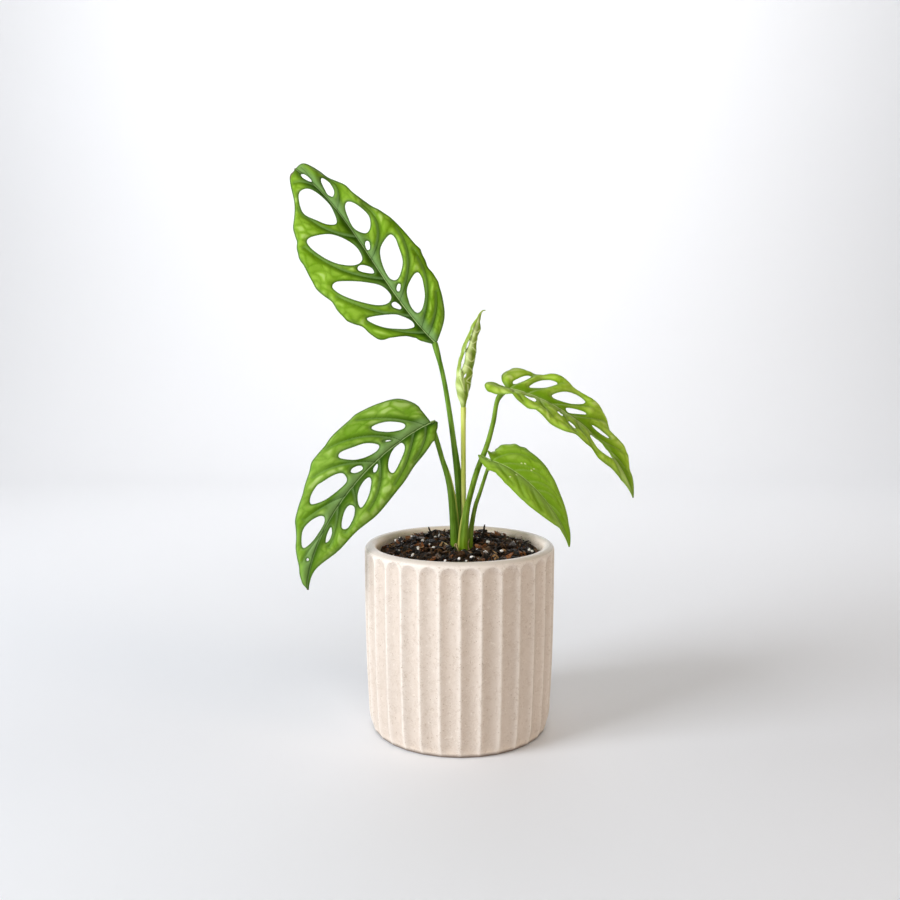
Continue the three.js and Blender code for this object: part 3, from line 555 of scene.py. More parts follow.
# For each leaf: the midrib's Bezier points, the way its face looks at both ends, the margins and holes
# as (across, along) when laid flat, how far the margins rise, the scallops as (place along the
# margin, height), the side veins as (start along, end across, end along, bow), pin marks and colours.
leaves = [
    {
        "name": "tallLeaf", "node": "blade_tall_leaf", "seed": 3,
        "midrib": [[-14.9, 4, 244.6], [-50.2, 10.9, 278.8], [-68.5, 23.3, 329.7], [-106.9, 38, 357.4]],
        "faceBase": [-0.25, -1, 0.15], "faceTip": [-0.25, -1, 0.35], "fold": 0.32, "arch": 0.8,
        "wave": (1.3, 4.5, 1.5),
        "right": [[1, 0], [10, 4], [17, 10], [23.5, 21], [26.5, 31.5], [28, 48.5], [28, 61.5], [25, 82],
                  [19, 97.5], [15, 109], [10.5, 132], [6.5, 146], [0.35, 150.3]],
        "left": [[1, 0], [6, 8.5], [10, 15.5], [18.5, 21], [24.5, 25], [32, 40.5], [36, 53], [39.5, 75],
                 [38, 90], [35, 106.5], [26.5, 119.5], [7.5, 149.5], [0.35, 150.3]],
        "rightRise": [0, 0, 0, -0.5, -1, -2, -2.5, -0.5, -4, 1.5, -4.5, 0, -1],
        "leftRise": [0, 0, 0, -0.5, -1, -2.5, -1, -3.5, -2, -1.5, 0.5, -5, -1],
        "rightScallops": [[0.32, 0.4], [0.385, -1], [0.46, 0.9], [0.64, 0.4], [0.78, 1], [0.83, -0.7]],
        "leftScallops": [[0.11, -0.6], [0.34, 0.6], [0.395, -1.5], [0.45, 0.7], [0.53, -1.4], [0.58, 0.7],
                         [0.7, 0.8], [0.77, -1.1], [0.825, 1.2], [0.87, -0.9]],
        "holes": [
            [[-11, 95.5], [-21.5, 103], [-27, 104], [-27.5, 97], [-24, 86], [-18.5, 77], [-10.5, 70.5],
             [-4.5, 71.5], [-4, 82]],
            [[-21, 65.5], [-27, 69], [-30.5, 67.5], [-28, 60], [-21.5, 50.5], [-13, 41.5], [-6.5, 38.5],
             [-2.5, 41.5], [-4, 50], [-11.5, 58]],
            [[-6, 134.5], [-11, 135.5], [-16, 127.5], [-17.5, 119.5], [-14, 110.5], [-10, 103.5],
             [-5, 101], [-2, 110], [-1.5, 118], [-3, 129]],
            [[18, 73.5], [9, 70], [4.5, 62], [3, 52], [5.5, 47.5], [10, 48.5], [16, 54.5], [19, 64.5],
             [20, 70]],
            [[9, 107], [5.5, 106], [3, 99.5], [2, 91], [6, 84], [10.5, 85], [14, 92], [12.5, 101]],
            [[19.5, 43], [15.5, 42.5], [8, 38], [4.5, 31], [3.5, 26], [4.5, 22], [8.5, 22], [14.5, 27],
             [18.5, 34.5], [20, 39.5]],
            [[-14.5, 35], [-23, 39], [-22, 34.5], [-17, 27.5], [-10, 21], [-6, 18], [-2.5, 17], [-2, 21.5],
             [-6.5, 29.5]],
            [[7, 132], [4.5, 130], [2.5, 123.5], [2, 120], [3.5, 117], [6.5, 119.5], [8, 127]],
            [[-6.5, 68], [-9.5, 68.5], [-10.5, 66.5], [-8, 63], [-3.5, 59.5], [-3, 63.5]],
            [[-2.5, 36.5], [-5, 37], [-5.5, 34.5], [-3, 31], [-1.5, 32]],
            [[4, 79.5], [2, 78.5], [1, 75], [3, 74], [5, 77.5]],
            [[-0.5, 144], [-1.5, 141], [-0.5, 136], [1, 135.5], [1, 141.5]],
            [[5.5, 44.5], [3, 43], [2.5, 41], [4, 40.5], [6.5, 43]],
        ],
        "veins": [[8.4, -24.5, 36.5, 1.3], [22.4, -31, 60.5, 2.3], [51.7, -31, 101, 5.4],
                  [84.8, -18, 127, 5.7], [116.5, -7.2, 144, -2.7], [13.1, 25.5, 57, -8.2],
                  [35.5, 24.5, 80.5, -9.2], [68, 15, 100, -8.1], [108, 8.8, 130.5, -4.8],
                  [133.5, 3, 146.7, -0.8], [6.8, 22, 24, -2.8]],
        "marks": [],
        "tones": {"deep": tone(98, 138, 10), "bright": tone(152, 186, 64), "vein": tone(26, 58, 0),
                  "sheen": tone(126, 160, 96), "rib": tone(178, 202, 132)},
        "patches": 0.72, "relief": 1.0,
    },
    {
        "name": "lowerLeaf", "node": "blade_lower_leaf", "seed": 8,
        "midrib": [[-17.8, -3, 195.6], [-52.9, -14.5, 179.4], [-89.9, -26.2, 137.4], [-92.5, -33, 96.6]],
        "faceBase": [0, -0.85, 0.5], "faceTip": [-0.35, -0.95, 0.15], "fold": 0.28, "arch": 0.8,
        "wave": (1.0, 4, 1.2),
        "right": [[1, 0], [11.5, 1.5], [17, 2.5], [23.5, 7], [27.5, 14.5], [32.5, 28.5], [32.5, 41.5],
                  [31.5, 58.5], [28.5, 74.5], [21, 92.5], [14.5, 107.5], [6.5, 123.5], [0.35, 132.7]],
        "left": [[1, 0], [0.5, -3.5], [4, -2.7], [11.7, 5.7], [15, 13.5], [17.7, 25.5], [22, 39],
                 [23.2, 54], [22.7, 70], [19, 85], [13.3, 103.3], [3.8, 120], [0.35, 132.7]],
        "rightRise": [0, 0, 0, -1, -1.5, -2.5, -2, -1.5, -3.5, 0, -2.5, 1, -1],
        "leftRise": [0, 0, 0, -0.5, -1, -2, -2, -2, -2, -1.5, -2, 1.3, -1],
        "rightScallops": [[0.1, 0.3], [0.44, 0.5], [0.57, -0.8], [0.625, 1.2], [0.71, -0.6], [0.775, 0.7],
                          [0.85, 0.6], [0.9, -0.8], [0.965, 0.6]],
        "leftScallops": [[0.15, -0.3], [0.235, 1.2]],
        "holes": [
            [[13, 64], [17, 71.5], [19, 75.5], [18.5, 82], [15, 85.5], [9, 79.5], [5.5, 70], [5, 63],
             [9.5, 61]],
            [[12.5, 39], [16.5, 46], [20, 53], [18, 55.5], [11, 51.5], [6.5, 45.5], [4.5, 38], [6.5, 34.5]],
            [[6.5, 89], [10.5, 94.5], [12.5, 101], [10, 108], [7, 109], [3.5, 103], [2, 93], [3.5, 88.5]],
            [[-0.5, 24], [-2, 31], [-6.5, 38], [-11, 41], [-13.5, 39.5], [-11, 32.5], [-7, 25],
             [-3.5, 22.5]],
            [[15.5, 22.5], [18.5, 30], [15.5, 30.5], [9.5, 25.5], [6, 19.5], [5.5, 15.5], [8.5, 15]],
            [[-4, 53], [-3.5, 58.5], [-6, 65.5], [-10, 70], [-13, 71], [-13, 66], [-11, 59.5], [-7, 53.5]],
            [[-6, 74], [-5.5, 78.5], [-8, 86], [-10.5, 89], [-13, 86.5], [-12.5, 79], [-9.5, 73.5]],
            [[6, 52], [7.5, 55.5], [6.5, 57.5], [4, 56], [2.5, 52], [4, 50.5]],
            [[-3, 91.5], [-3, 97], [-4.5, 101.5], [-6, 99], [-5.5, 94.5]],
            [[-1.5, 43], [-2, 46.5], [-4, 48.5], [-5, 47], [-3.5, 44]],
            [[3.5, 26.5], [5, 28], [6.5, 31], [5, 29.5]],
            [[3, 114.1], [3.9, 115], [3, 115.9], [2.1, 115]],
        ],
        "veins": [[3.8, 29, 33, -0.6], [21.8, 28.5, 55.5, -3.3], [43, 24.5, 72, -1.6],
                  [70.5, 14, 94.5, -0.3], [95.5, 5.8, 117, 0], [11.4, -19.7, 44.5, 3.1],
                  [39, -18, 69, 4.8], [63, -13, 90, 5.3], [77.5, -7.4, 103, 2.8], [3, -15.3, 23.3, 3.2]],
        "marks": [],
        "tones": {"deep": tone(100, 142, 26), "bright": tone(156, 186, 82), "vein": tone(30, 64, 0),
                  "sheen": tone(132, 164, 100), "rib": tone(178, 202, 136)},
        "patches": 0.6, "relief": 0.9,
    },
    {
        "name": "rightLeaf", "node": "blade_right_leaf", "seed": 12,
        "midrib": [[28.9, 5, 217.2], [62.3, -0.3, 211.3], [98.6, -6.6, 182.8], [108.1, -12, 149.6]],
        "faceBase": [0.1, -0.6, 0.8], "faceTip": [0.7, -0.5, 0.45], "fold": 0.3, "arch": 0.7,
        "wave": (0, 1, 0),
        "right": [[1, 0], [1.5, -8], [5.5, -12.5], [9.5, -9], [10, -1], [12, 6], [17, 17.5], [21.5, 27],
                  [22.5, 39], [22, 54], [17.5, 68], [15.5, 79.5], [5.5, 96], [0.35, 110.3]],
        "left": [[1, 0], [7, -3.5], [14, -4.5], [20, -1], [24, 6.5], [25.5, 16.5], [27, 26.5],
                 [27, 40.5], [25.5, 54], [21.5, 68.5], [16.5, 80], [12.5, 89], [4.5, 100], [0.35, 110.3]],
        "rightRise": [0, 4, 3.5, 1, 1, 4.5, 2, 5.5, 2, 5, 2, 0.5, -1, 0],
        "leftRise": [0, -1, -2, -3, -3, -4.5, 0.5, -2.5, 0, -5.5, 0, -0.5, 1.3, 0],
        "rightScallops": [[0.12, 0.3], [0.25, -0.7], [0.315, -1], [0.375, -1.1], [0.415, 0.8], [0.51, -1.1],
                          [0.66, 1], [0.7, -1], [0.77, -1], [0.825, 0.7], [0.885, -1], [0.96, -0.4]],
        "leftScallops": [[0.26, 1], [0.32, -1.2], [0.355, -0.8], [0.425, 0.5], [0.52, -1], [0.665, 1],
                         [0.705, -1], [0.75, -1], [0.83, 0.9], [0.885, -1.1]],
        "holes": [
            [[-13.5, 33], [-6.5, 28.5], [-5, 32], [-8, 40], [-14, 46], [-18.5, 47], [-20.5, 43],
             [-19.5, 39]],
            [[3.5, 62], [8, 64], [10.5, 70.5], [8.5, 76.5], [4.5, 81], [0.5, 81.5], [-0.5, 73], [0.5, 65]],
            [[-16.5, 18.5], [-6.5, 14], [-5.5, 15.5], [-9.5, 21.5], [-17.5, 28], [-19.5, 24.5], [-19, 21]],
            [[-3.5, 40], [-1.5, 41.5], [-2.5, 45], [-8, 51.5], [-9.5, 50.5], [-7, 45]],
            [[-15.5, 9.5], [-10, 5.5], [-6.5, 3.5], [-4.5, 4.5], [-9, 9.5], [-15.5, 12.5], [-17.5, 12]],
            [[-5, 58.5], [-4.5, 64], [-7, 70.5], [-9.5, 71], [-8.5, 66]],
            [[3.5, 13.5], [7, 14.5], [8, 20.5], [5, 21.5], [2.5, 19.5], [4, 17]],
            [[8, 46], [10, 47], [12, 51.5], [10, 52], [8, 49.5]],
            [[4.5, 37], [7, 37], [8, 40], [6, 41], [4, 40]],
        ],
        "veins": [[2, -23, 14, -1.2], [13.4, -21, 30, -0.9], [29, -16, 50, -1.3], [42, -17.3, 61.5, -2.4],
                  [59.5, -8.7, 81, -1.8], [72.7, -3.5, 95.8, 1.2], [4.8, 13.5, 14.5, -1.3],
                  [22, 16.3, 35, -1.5], [36, 18, 53.5, -0.5], [49.3, 15.4, 73, -4.8], [74, 5, 98, -1.5]],
        "marks": [],
        "tones": {"deep": tone(144, 182, 36), "bright": tone(194, 216, 98), "vein": tone(92, 130, 6),
                  "sheen": tone(182, 202, 126), "rib": tone(202, 218, 146)},
        "patches": 0.6, "relief": 0.9,
    },
    {
        "name": "smallLeaf", "node": "blade_small_leaf", "seed": 21,
        "midrib": [[19.6, -4, 172], [40, -11, 167.5], [61.9, -20.5, 143], [66.7, -28, 122.2]],
        "faceBase": [0.2, -0.65, 0.75], "faceTip": [0.5, -0.75, 0.4], "fold": 0.3, "arch": 0.6,
        "wave": (0.5, 3, 1),
        "right": [[1, 0], [0.8, -8], [5, -5], [8, 0], [10, 5.5], [12, 14], [13.8, 26.5], [14.2, 39],
                  [10.4, 51.2], [3.5, 64.2], [0.35, 75.5]],
        "left": [[1, 0], [3, -3.5], [6.5, -2.5], [11, -2.5], [16, 1], [19, 9], [19.2, 19], [16.4, 31],
                 [12.3, 43], [8.5, 54.2], [4.2, 66], [0.35, 75.5]],
        "rightRise": [0, 3, 2, 0, 0, 0, -0.5, -0.5, 0, 1, 0],
        "leftRise": [0, 4.5, 0.5, -3, -2, -0.5, 0.5, 0.5, -0.5, 0, 0, 0],
        "rightScallops": [[0.35, 1.2], [0.43, -0.6], [0.53, 0.5], [0.68, -0.3], [0.89, -0.8]],
        "leftScallops": [[0.28, -0.9], [0.33, -0.8], [0.44, 1.2], [0.49, 1], [0.65, -0.4], [0.88, -0.3]],
        "holes": [],
        "veins": [[0.5, -15.5, 21, 4], [5.7, -11.3, 27.7, 1.1], [15.2, -10, 36, 2.9],
                  [26.3, -8.3, 44.7, 2.6], [34.2, -5.7, 52.3, 3.2], [44, -2.9, 60.6, 1.3],
                  [3.4, 10.2, 22.3, -1.7], [16.6, 12, 34.4, -1.4], [29.3, 8.1, 48, -1.9],
                  [40.6, 4, 55.7, -1]],
        "marks": [[-7.2, 16.9], [-9.2, 24.4], [-7.2, 24], [2.3, 19.3], [7.4, 17.6], [-8.4, 18.6]],
        "tones": {"deep": tone(126, 163, 34), "bright": tone(168, 196, 84), "vein": tone(106, 144, 22),
                  "sheen": tone(154, 182, 96), "rib": tone(188, 210, 132)},
        "patches": 0.4, "relief": 0.3,
    },
]


# The midrib as a cubic Bezier curve by arc length: point, tangent, side and upper normal at y.
def midribFrame(leaf, y):
    samples = 801
    p = np.array(leaf["midrib"], float)
    t = np.linspace(0, 1, samples)[:, None]
    curve = (1 - t) ** 3 * p[0] + 3 * (1 - t) ** 2 * t * p[1] + 3 * (1 - t) * t * t * p[2] + t**3 * p[3]
    slope = (1 - t) ** 2 * (p[1] - p[0]) + 2 * (1 - t) * t * (p[2] - p[1]) + t * t * (p[3] - p[2])
    at = np.r_[0, np.cumsum(np.linalg.norm(np.diff(curve, axis=0), axis=1))]
    inside = np.clip(y, 0, at[-1])
    pick = lambda table: np.stack([np.interp(inside, at, table[:, k]) for k in range(3)], -1)
    tangent = pick(slope)
    tangent /= np.linalg.norm(tangent, axis=-1, keepdims=True)
    middle = pick(curve) + tangent * (y - inside)[..., None]
    share = (inside / at[-1])[..., None]
    face = np.array(leaf["faceBase"]) * (1 - share) + np.array(leaf["faceTip"]) * share
    side = np.cross(tangent, face)
    side /= np.linalg.norm(side, axis=-1, keepdims=True)
    return middle, side, np.cross(side, tangent), at[-1]


# The blade's left or right margin at v, as distances across and along: a smooth curve, moved outwards
# along its normal at each small scallop by height * exp(-((v - its place) / scallop)^2).
def margin(leaf, key, v):
    step = 0.004
    rows = np.asarray(leaf[key], float)
    here, ahead, back = catmull(rows, v), catmull(rows, v + step), catmull(rows, v - step)
    slope = ahead - back
    slope /= np.maximum(np.linalg.norm(slope, axis=-1, keepdims=True), 1e-9)
    outward = np.stack([slope[..., 1], -slope[..., 0]], -1)
    for at, height in leaf[key + "Scallops"]:
        here = here + outward * (height * np.exp(-(((v - at) / bladeSet["scallop"]) ** 2)))[..., None]
    return here


# Distances across and along the blade at s (-1 left margin, 0 midrib, 1 right margin) and v: a
# straight line from the midrib at length * v^ribSweep to the margin at v, and the margin's distance.
def bladePlane(leaf, s, v):
    edge = np.where((s > 0)[..., None], margin(leaf, "right", v), margin(leaf, "left", v))
    start = leaf["length"] * v ** bladeSet["ribSweep"]
    u = np.abs(s)
    return np.sign(s) * edge[..., 0] * u, start + (edge[..., 1] - start) * u, edge[..., 0]


# Height over the midrib's plane, with u = |s| and x the margin's distance:
# fold * x * u * (1 - arch * u) + rise * u^2 + wave * u^3 * sin(2 pi * count * v + phase) * ease.
def bladeHeight(leaf, s, v, across):
    u = np.abs(s)
    rise = np.where(s > 0, catmull(leaf["rightRise"], v), catmull(leaf["leftRise"], v))
    high, count, phase = leaf["wave"]
    ease = np.sqrt(np.clip(np.sin(math.pi * v), 0, None))
    wave = high * u**3 * np.sin(2 * math.pi * count * v + np.where(s > 0, 0, phase)) * ease
    return leaf["fold"] * across * u * (1 - leaf["arch"] * u) + rise * u * u + wave


# A hole's outline: a closed Catmull-Rom curve through its points.
def holeOutline(hole):
    perPoint = 8
    ring = hole[-2:] + hole + hole[:2]
    s = np.linspace(2, len(hole) + 2, perPoint * len(hole) + 1) / (len(ring) - 1)
    return catmull(ring, s)


# Whether points lie inside a closed outline: the number of its sides to the right of a point is odd.
def insideOf(outline, x, y):
    crossings = np.zeros(x.shape, bool)
    for (ax, ay), (bx, by) in zip(outline[:-1], outline[1:]):
        if ay != by:
            spans = (ay > y) != (by > y)
            crossings ^= spans & (x < (bx - ax) * (y - ay) / (by - ay) + ax)
    return crossings


cutSet = {
    "reach": 5,     # mm round a hole in which distances to it are worked out
    "steps": 4,     # of Newton's method, from a point to the nearest place of the outline
    "nudge": 1e-4,  # of a parameter, for slopes
    "most": 1.5,    # steps of the grid that a point moves at a time
}


# A grid whose points next to a hole are moved onto its outline: s and v are the grid's parameters,
# plane(s, v) gives the flat place (x, y) in which the holes are drawn. Returns s, v, the triangles
# left between the holes, and the distance to the nearest hole.
def cutGrid(s, v, plane, outlines):
    rows, columns = s.shape
    x, y = plane(s, v)
    gap = np.full(x.shape, farAway)
    footX, footY = x.copy(), y.copy()
    inside = np.zeros(x.shape, bool)
    for outline in outlines:
        low, high = outline.min(0) - cutSet["reach"], outline.max(0) + cutSet["reach"]
        near = (x > low[0]) & (x < high[0]) & (y > low[1]) & (y < high[1])
        far, _, fx, fy = distanceTo(outline, x[near], y[near])
        closer = far < gap[near]
        gap[near] = np.where(closer, far, gap[near])
        footX[near] = np.where(closer, fx, footX[near])
        footY[near] = np.where(closer, fy, footY[near])
        inside[near] |= insideOf(outline, x[near], y[near])
    snap = np.zeros(x.shape, bool)
    for first, second in ((np.s_[:, :-1], np.s_[:, 1:]), (np.s_[:-1, :], np.s_[1:, :])):
        crossing = inside[first] != inside[second]
        nearer = gap[first] <= gap[second]
        snap[first] |= crossing & nearer
        snap[second] |= crossing & ~nearer
    s, v = s.copy(), v.copy()
    ss, vv = s[snap], v[snap]
    stepS, stepV = abs(s[0, 1] - s[0, 0]) * cutSet["most"], abs(v[1, 0] - v[0, 0]) * cutSet["most"]
    e = cutSet["nudge"]
    for _ in range(cutSet["steps"]):
        px, py = plane(ss, vv)
        sx, sy = plane(ss + e, vv)
        vx, vy = plane(ss, vv + e)
        a, b, c, d = (sx - px) / e, (vx - px) / e, (sy - py) / e, (vy - py) / e
        det = a * d - b * c
        det = np.where(np.abs(det) < 1e-6, 1e-6, det)
        rx, ry = footX[snap] - px, footY[snap] - py
        ss = np.clip(ss + np.clip((d * rx - b * ry) / det, -stepS, stepS), s.min(), s.max())
        vv = np.clip(vv + np.clip((a * ry - c * rx) / det, -stepV, stepV), v.min(), v.max())
    s[snap], v[snap] = ss, vv
    gap = np.where(snap, 0, gap)
    state = np.where(snap, 1, np.where(inside, 2, 0)).ravel()  # 1 on an outline, 2 in a hole, else 0
    a, b, c, d = gridFaces(rows, columns, False).T
    corners = np.stack([state[a], state[b], state[c], state[d]])
    oneOut = (corners == 1).sum(0) == 3
    crossed = (corners[0] == 2) | (corners[2] == 2) | (oneOut & ((corners[0] == 0) | (corners[2] == 0)))
    crossed = np.where((corners == 0).all(0), (a + a // columns) % 2 == 0, crossed)
    first = np.where(crossed[:, None], np.stack([a, b, d], -1), np.stack([a, b, c], -1))
    second = np.where(crossed[:, None], np.stack([b, c, d], -1), np.stack([a, c, d], -1))
    triangles = np.concatenate([first, second])
    states = state[triangles]
    keep = ~(states == 2).any(1)
    px, py = plane(s, v)
    middleX, middleY = px.ravel()[triangles].mean(1), py.ravel()[triangles].mean(1)
    rim = (states == 1).all(1)
    for outline in outlines:
        keep[rim] &= ~insideOf(outline, middleX[rim], middleY[rim])
    used, triangles = np.unique(triangles[keep], return_inverse=True)
    return s.ravel()[used], v.ravel()[used], triangles.reshape(-1, 3), gap.ravel()[used]


# A sheet from its middle surface: triangles lie half its thickness over it and, turned round, `under`
# below it, with a wall along every open edge.
def sheet(points, triangles, upward, half, under):
    flat = np.cross(points[triangles[:, 1]] - points[triangles[:, 0]],
                    points[triangles[:, 2]] - points[triangles[:, 0]])
    up = np.zeros_like(points)
    for k in range(3):
        np.add.at(up, triangles[:, k], flat)
    up /= np.maximum(np.linalg.norm(up, axis=1, keepdims=True), 1e-9)
    if (up * upward).sum() < 0:
        triangles, up = triangles[:, ::-1], -up
    count = len(points)
    directed = np.concatenate([triangles[:, [0, 1]], triangles[:, [1, 2]], triangles[:, [2, 0]]])
    same = np.isin(directed[:, 0] * count + directed[:, 1], directed[:, 1] * count + directed[:, 0])
    p, q = directed[~same].T
    walls = np.concatenate([np.stack([q, p, p + count], -1), np.stack([q, p + count, q + count], -1)])
    faces = np.concatenate([triangles, triangles[:, ::-1] + count, walls])
    return np.concatenate([points + up * half[:, None], points - up * under[:, None]]), faces


# Side vein from the midrib (0, y0) to (x1, y1), bowed by `bend` at its middle.
def veinPath(vein):
    y0, x1, y1, bend = vein
    t = np.linspace(0, 1, 13)[:, None]
    start, end = np.array([0, y0]), np.array([x1, y1])
    chord = end - start
    normal = np.array([-chord[1], chord[0]]) / np.linalg.norm(chord)
    return start + chord * t + normal * bend * 4 * t * (1 - t)


# The fields that shape and colour a blade, from distances to its veins, holes and margin.
def bladeFields(leaf, s, v, gap):
    b, seed = bladeSet, leaf["seed"]
    x, y, across = bladePlane(leaf, s, v)
    vein = np.full(x.shape, farAway)
    veinAlong, beyond = np.zeros(x.shape), np.zeros(x.shape)
    for row in leaf["veins"]:
        far, along, _, footY = distanceTo(veinPath(row), x, y)
        far = np.where(np.sign(x) * np.sign(row[1]) < 0, far + b["veinApart"], far)
        closer = far < vein
        vein = np.where(closer, far, vein)
        veinAlong = np.where(closer, along, veinAlong)
        beyond = np.where(closer, y > footY, beyond)
    edge = np.full(x.shape, farAway)
    run = np.linspace(0, 1, 160)
    for key, sign in (("right", 1), ("left", -1)):
        far, _, _, _ = distanceTo(margin(leaf, key, run) * [sign, 1], x, y)
        edge = np.minimum(edge, np.where(s * sign >= 0, far, far + b["edgeApart"]))
    wobbleX = x + b["wobble"] * softNoise(x, y, b["wobbleSize"], seed)
    wobbleY = y + b["wobble"] * softNoise(x, y, b["wobbleSize"], seed + 1)
    # cells lie in rows that slant up and out on both sides of the midrib
    slant = wobbleY - b["slant"] * np.abs(wobbleX)
    deep, shade = cellField(np.sign(x) * b["sidesApart"] + 0.8 * wobbleX, slant, *b["cellSize"], seed + 2)
    broad, small = b["cloudSizes"]
    cloud = 0.5 + 0.35 * softNoise(x, y, broad, seed + 3) + 0.15 * softNoise(x, y, small, seed + 4)
    mark = np.full(x.shape, farAway)
    for markX, markY in leaf["marks"]:
        mark = np.minimum(mark, np.hypot(x - markX, 0.7 * (y - markY)))  # longer along the blade
    return {"across": x, "along": y, "wide": across, "vein": vein, "veinAlong": veinAlong, "edge": edge,
            "hole": gap, "cell": deep, "shade": shade, "cloud": cloud, "beyond": beyond, "mark": mark}


# A blade: its grid is cut at the holes and lifted by bladeHeight, plus puff * (1 - exp(-(d / w)^2))
# between the side veins and quilt in the middle of each cell, less veinDepth * exp(-(d / w)^2) in the
# veins, grooveDepth * exp(-|x| / w) along the midrib and droop * exp(-rim / reach) at every edge,
# where d is the distance to a vein and w the width given for it. The rib and veins stand out below.
def makeBlade(leaf):
    b = bladeSet
    leaf["length"] = midribFrame(leaf, np.zeros(1))[3]
    half = int(max(abs(row[0]) for row in leaf["right"] + leaf["left"]) / b["cell"])
    rows = int(leaf["length"] * b["rowsPerLength"] / b["cell"])
    v = b["firstRow"] + (1 - b["firstRow"]) * np.linspace(0, 1, rows + 1)[:, None] * np.ones(2 * half + 1)
    s = np.linspace(-1, 1, 2 * half + 1)[None, :] * np.ones((rows + 1, 1))
    plane = lambda ss, vv: bladePlane(leaf, ss, vv)[:2]
    s, v, triangles, gap = cutGrid(s, v, plane, [holeOutline(hole) for hole in leaf["holes"]])
    f = bladeFields(leaf, s, v, gap)
    x = f["across"]
    rim = np.minimum(f["hole"], f["edge"])
    outer = smoothstep(1.5, 9, np.abs(x)) * smoothstep(0, 4, rim)
    puffed = 1 - np.exp(-((f["vein"] / b["puffWidth"]) ** 2))
    quilt = smoothstep(0.0, b["quiltEdge"], f["cell"]) * outer * smoothstep(0.4, 2.2, f["vein"])
    height = bladeHeight(leaf, s, v, f["wide"])
    height += leaf["relief"] * b["puff"] * puffed * smoothstep(0, 3, np.abs(x)) * smoothstep(0, 3.5, rim)
    veinDepth = leaf["relief"] * b["veinDepth"] * (1 - 0.5 * f["veinAlong"])
    height -= veinDepth * np.exp(-((f["vein"] / b["veinWidth"]) ** 2))
    height += b["quilt"] * quilt * smoothstep(0, 3, rim)
    height -= b["grooveDepth"] * np.exp(-np.abs(x) / b["grooveWidth"])
    height -= b["droop"] * np.exp(-rim / b["droopReach"])
    middle, side, normal, _ = midribFrame(leaf, f["along"])
    points = middle + side * x[:, None] + normal * height[:, None]
    thickness = b["edgeThickness"] + (b["thickness"] - b["edgeThickness"]) * smoothstep(0, 2.5, rim)
    ribUnder = b["ribDepth"] * np.exp(-((x / b["ribWidth"]) ** 2)) * (1 - 0.85 * v)
    veinUnder = np.exp(-((f["vein"] / b["veinUnderWidth"]) ** 2)) * (1 - 0.6 * f["veinAlong"])
    under = thickness / 2 + ribUnder + b["veinUnder"] * veinUnder
    points, faces = sheet(points, triangles, normal, thickness / 2, under)
    kept = {key: f[key] for key in ("vein", "veinAlong", "cell", "shade", "cloud", "mark")}
    kept.update({"edge": rim, "rib": np.abs(x), "out": np.abs(x) / np.maximum(f["wide"], 1),
                 "beyond": f["beyond"] * smoothstep(0, 0.8, f["vein"]),
                 "side": smoothstep(-1.5, 1.5, x), "along": f["along"] / leaf["length"]})
    fields = {key: bothSides(values) for key, values in kept.items()}
    fields["under"] = np.r_[np.zeros(len(x)), np.ones(len(x))]
    piece = addMesh(leaf["name"], points, faces, fields, 50)
    finishPiece(piece, bladeFinish(leaf), [leaf["node"]])
    print(leaf["name"], len(faces), "triangles")
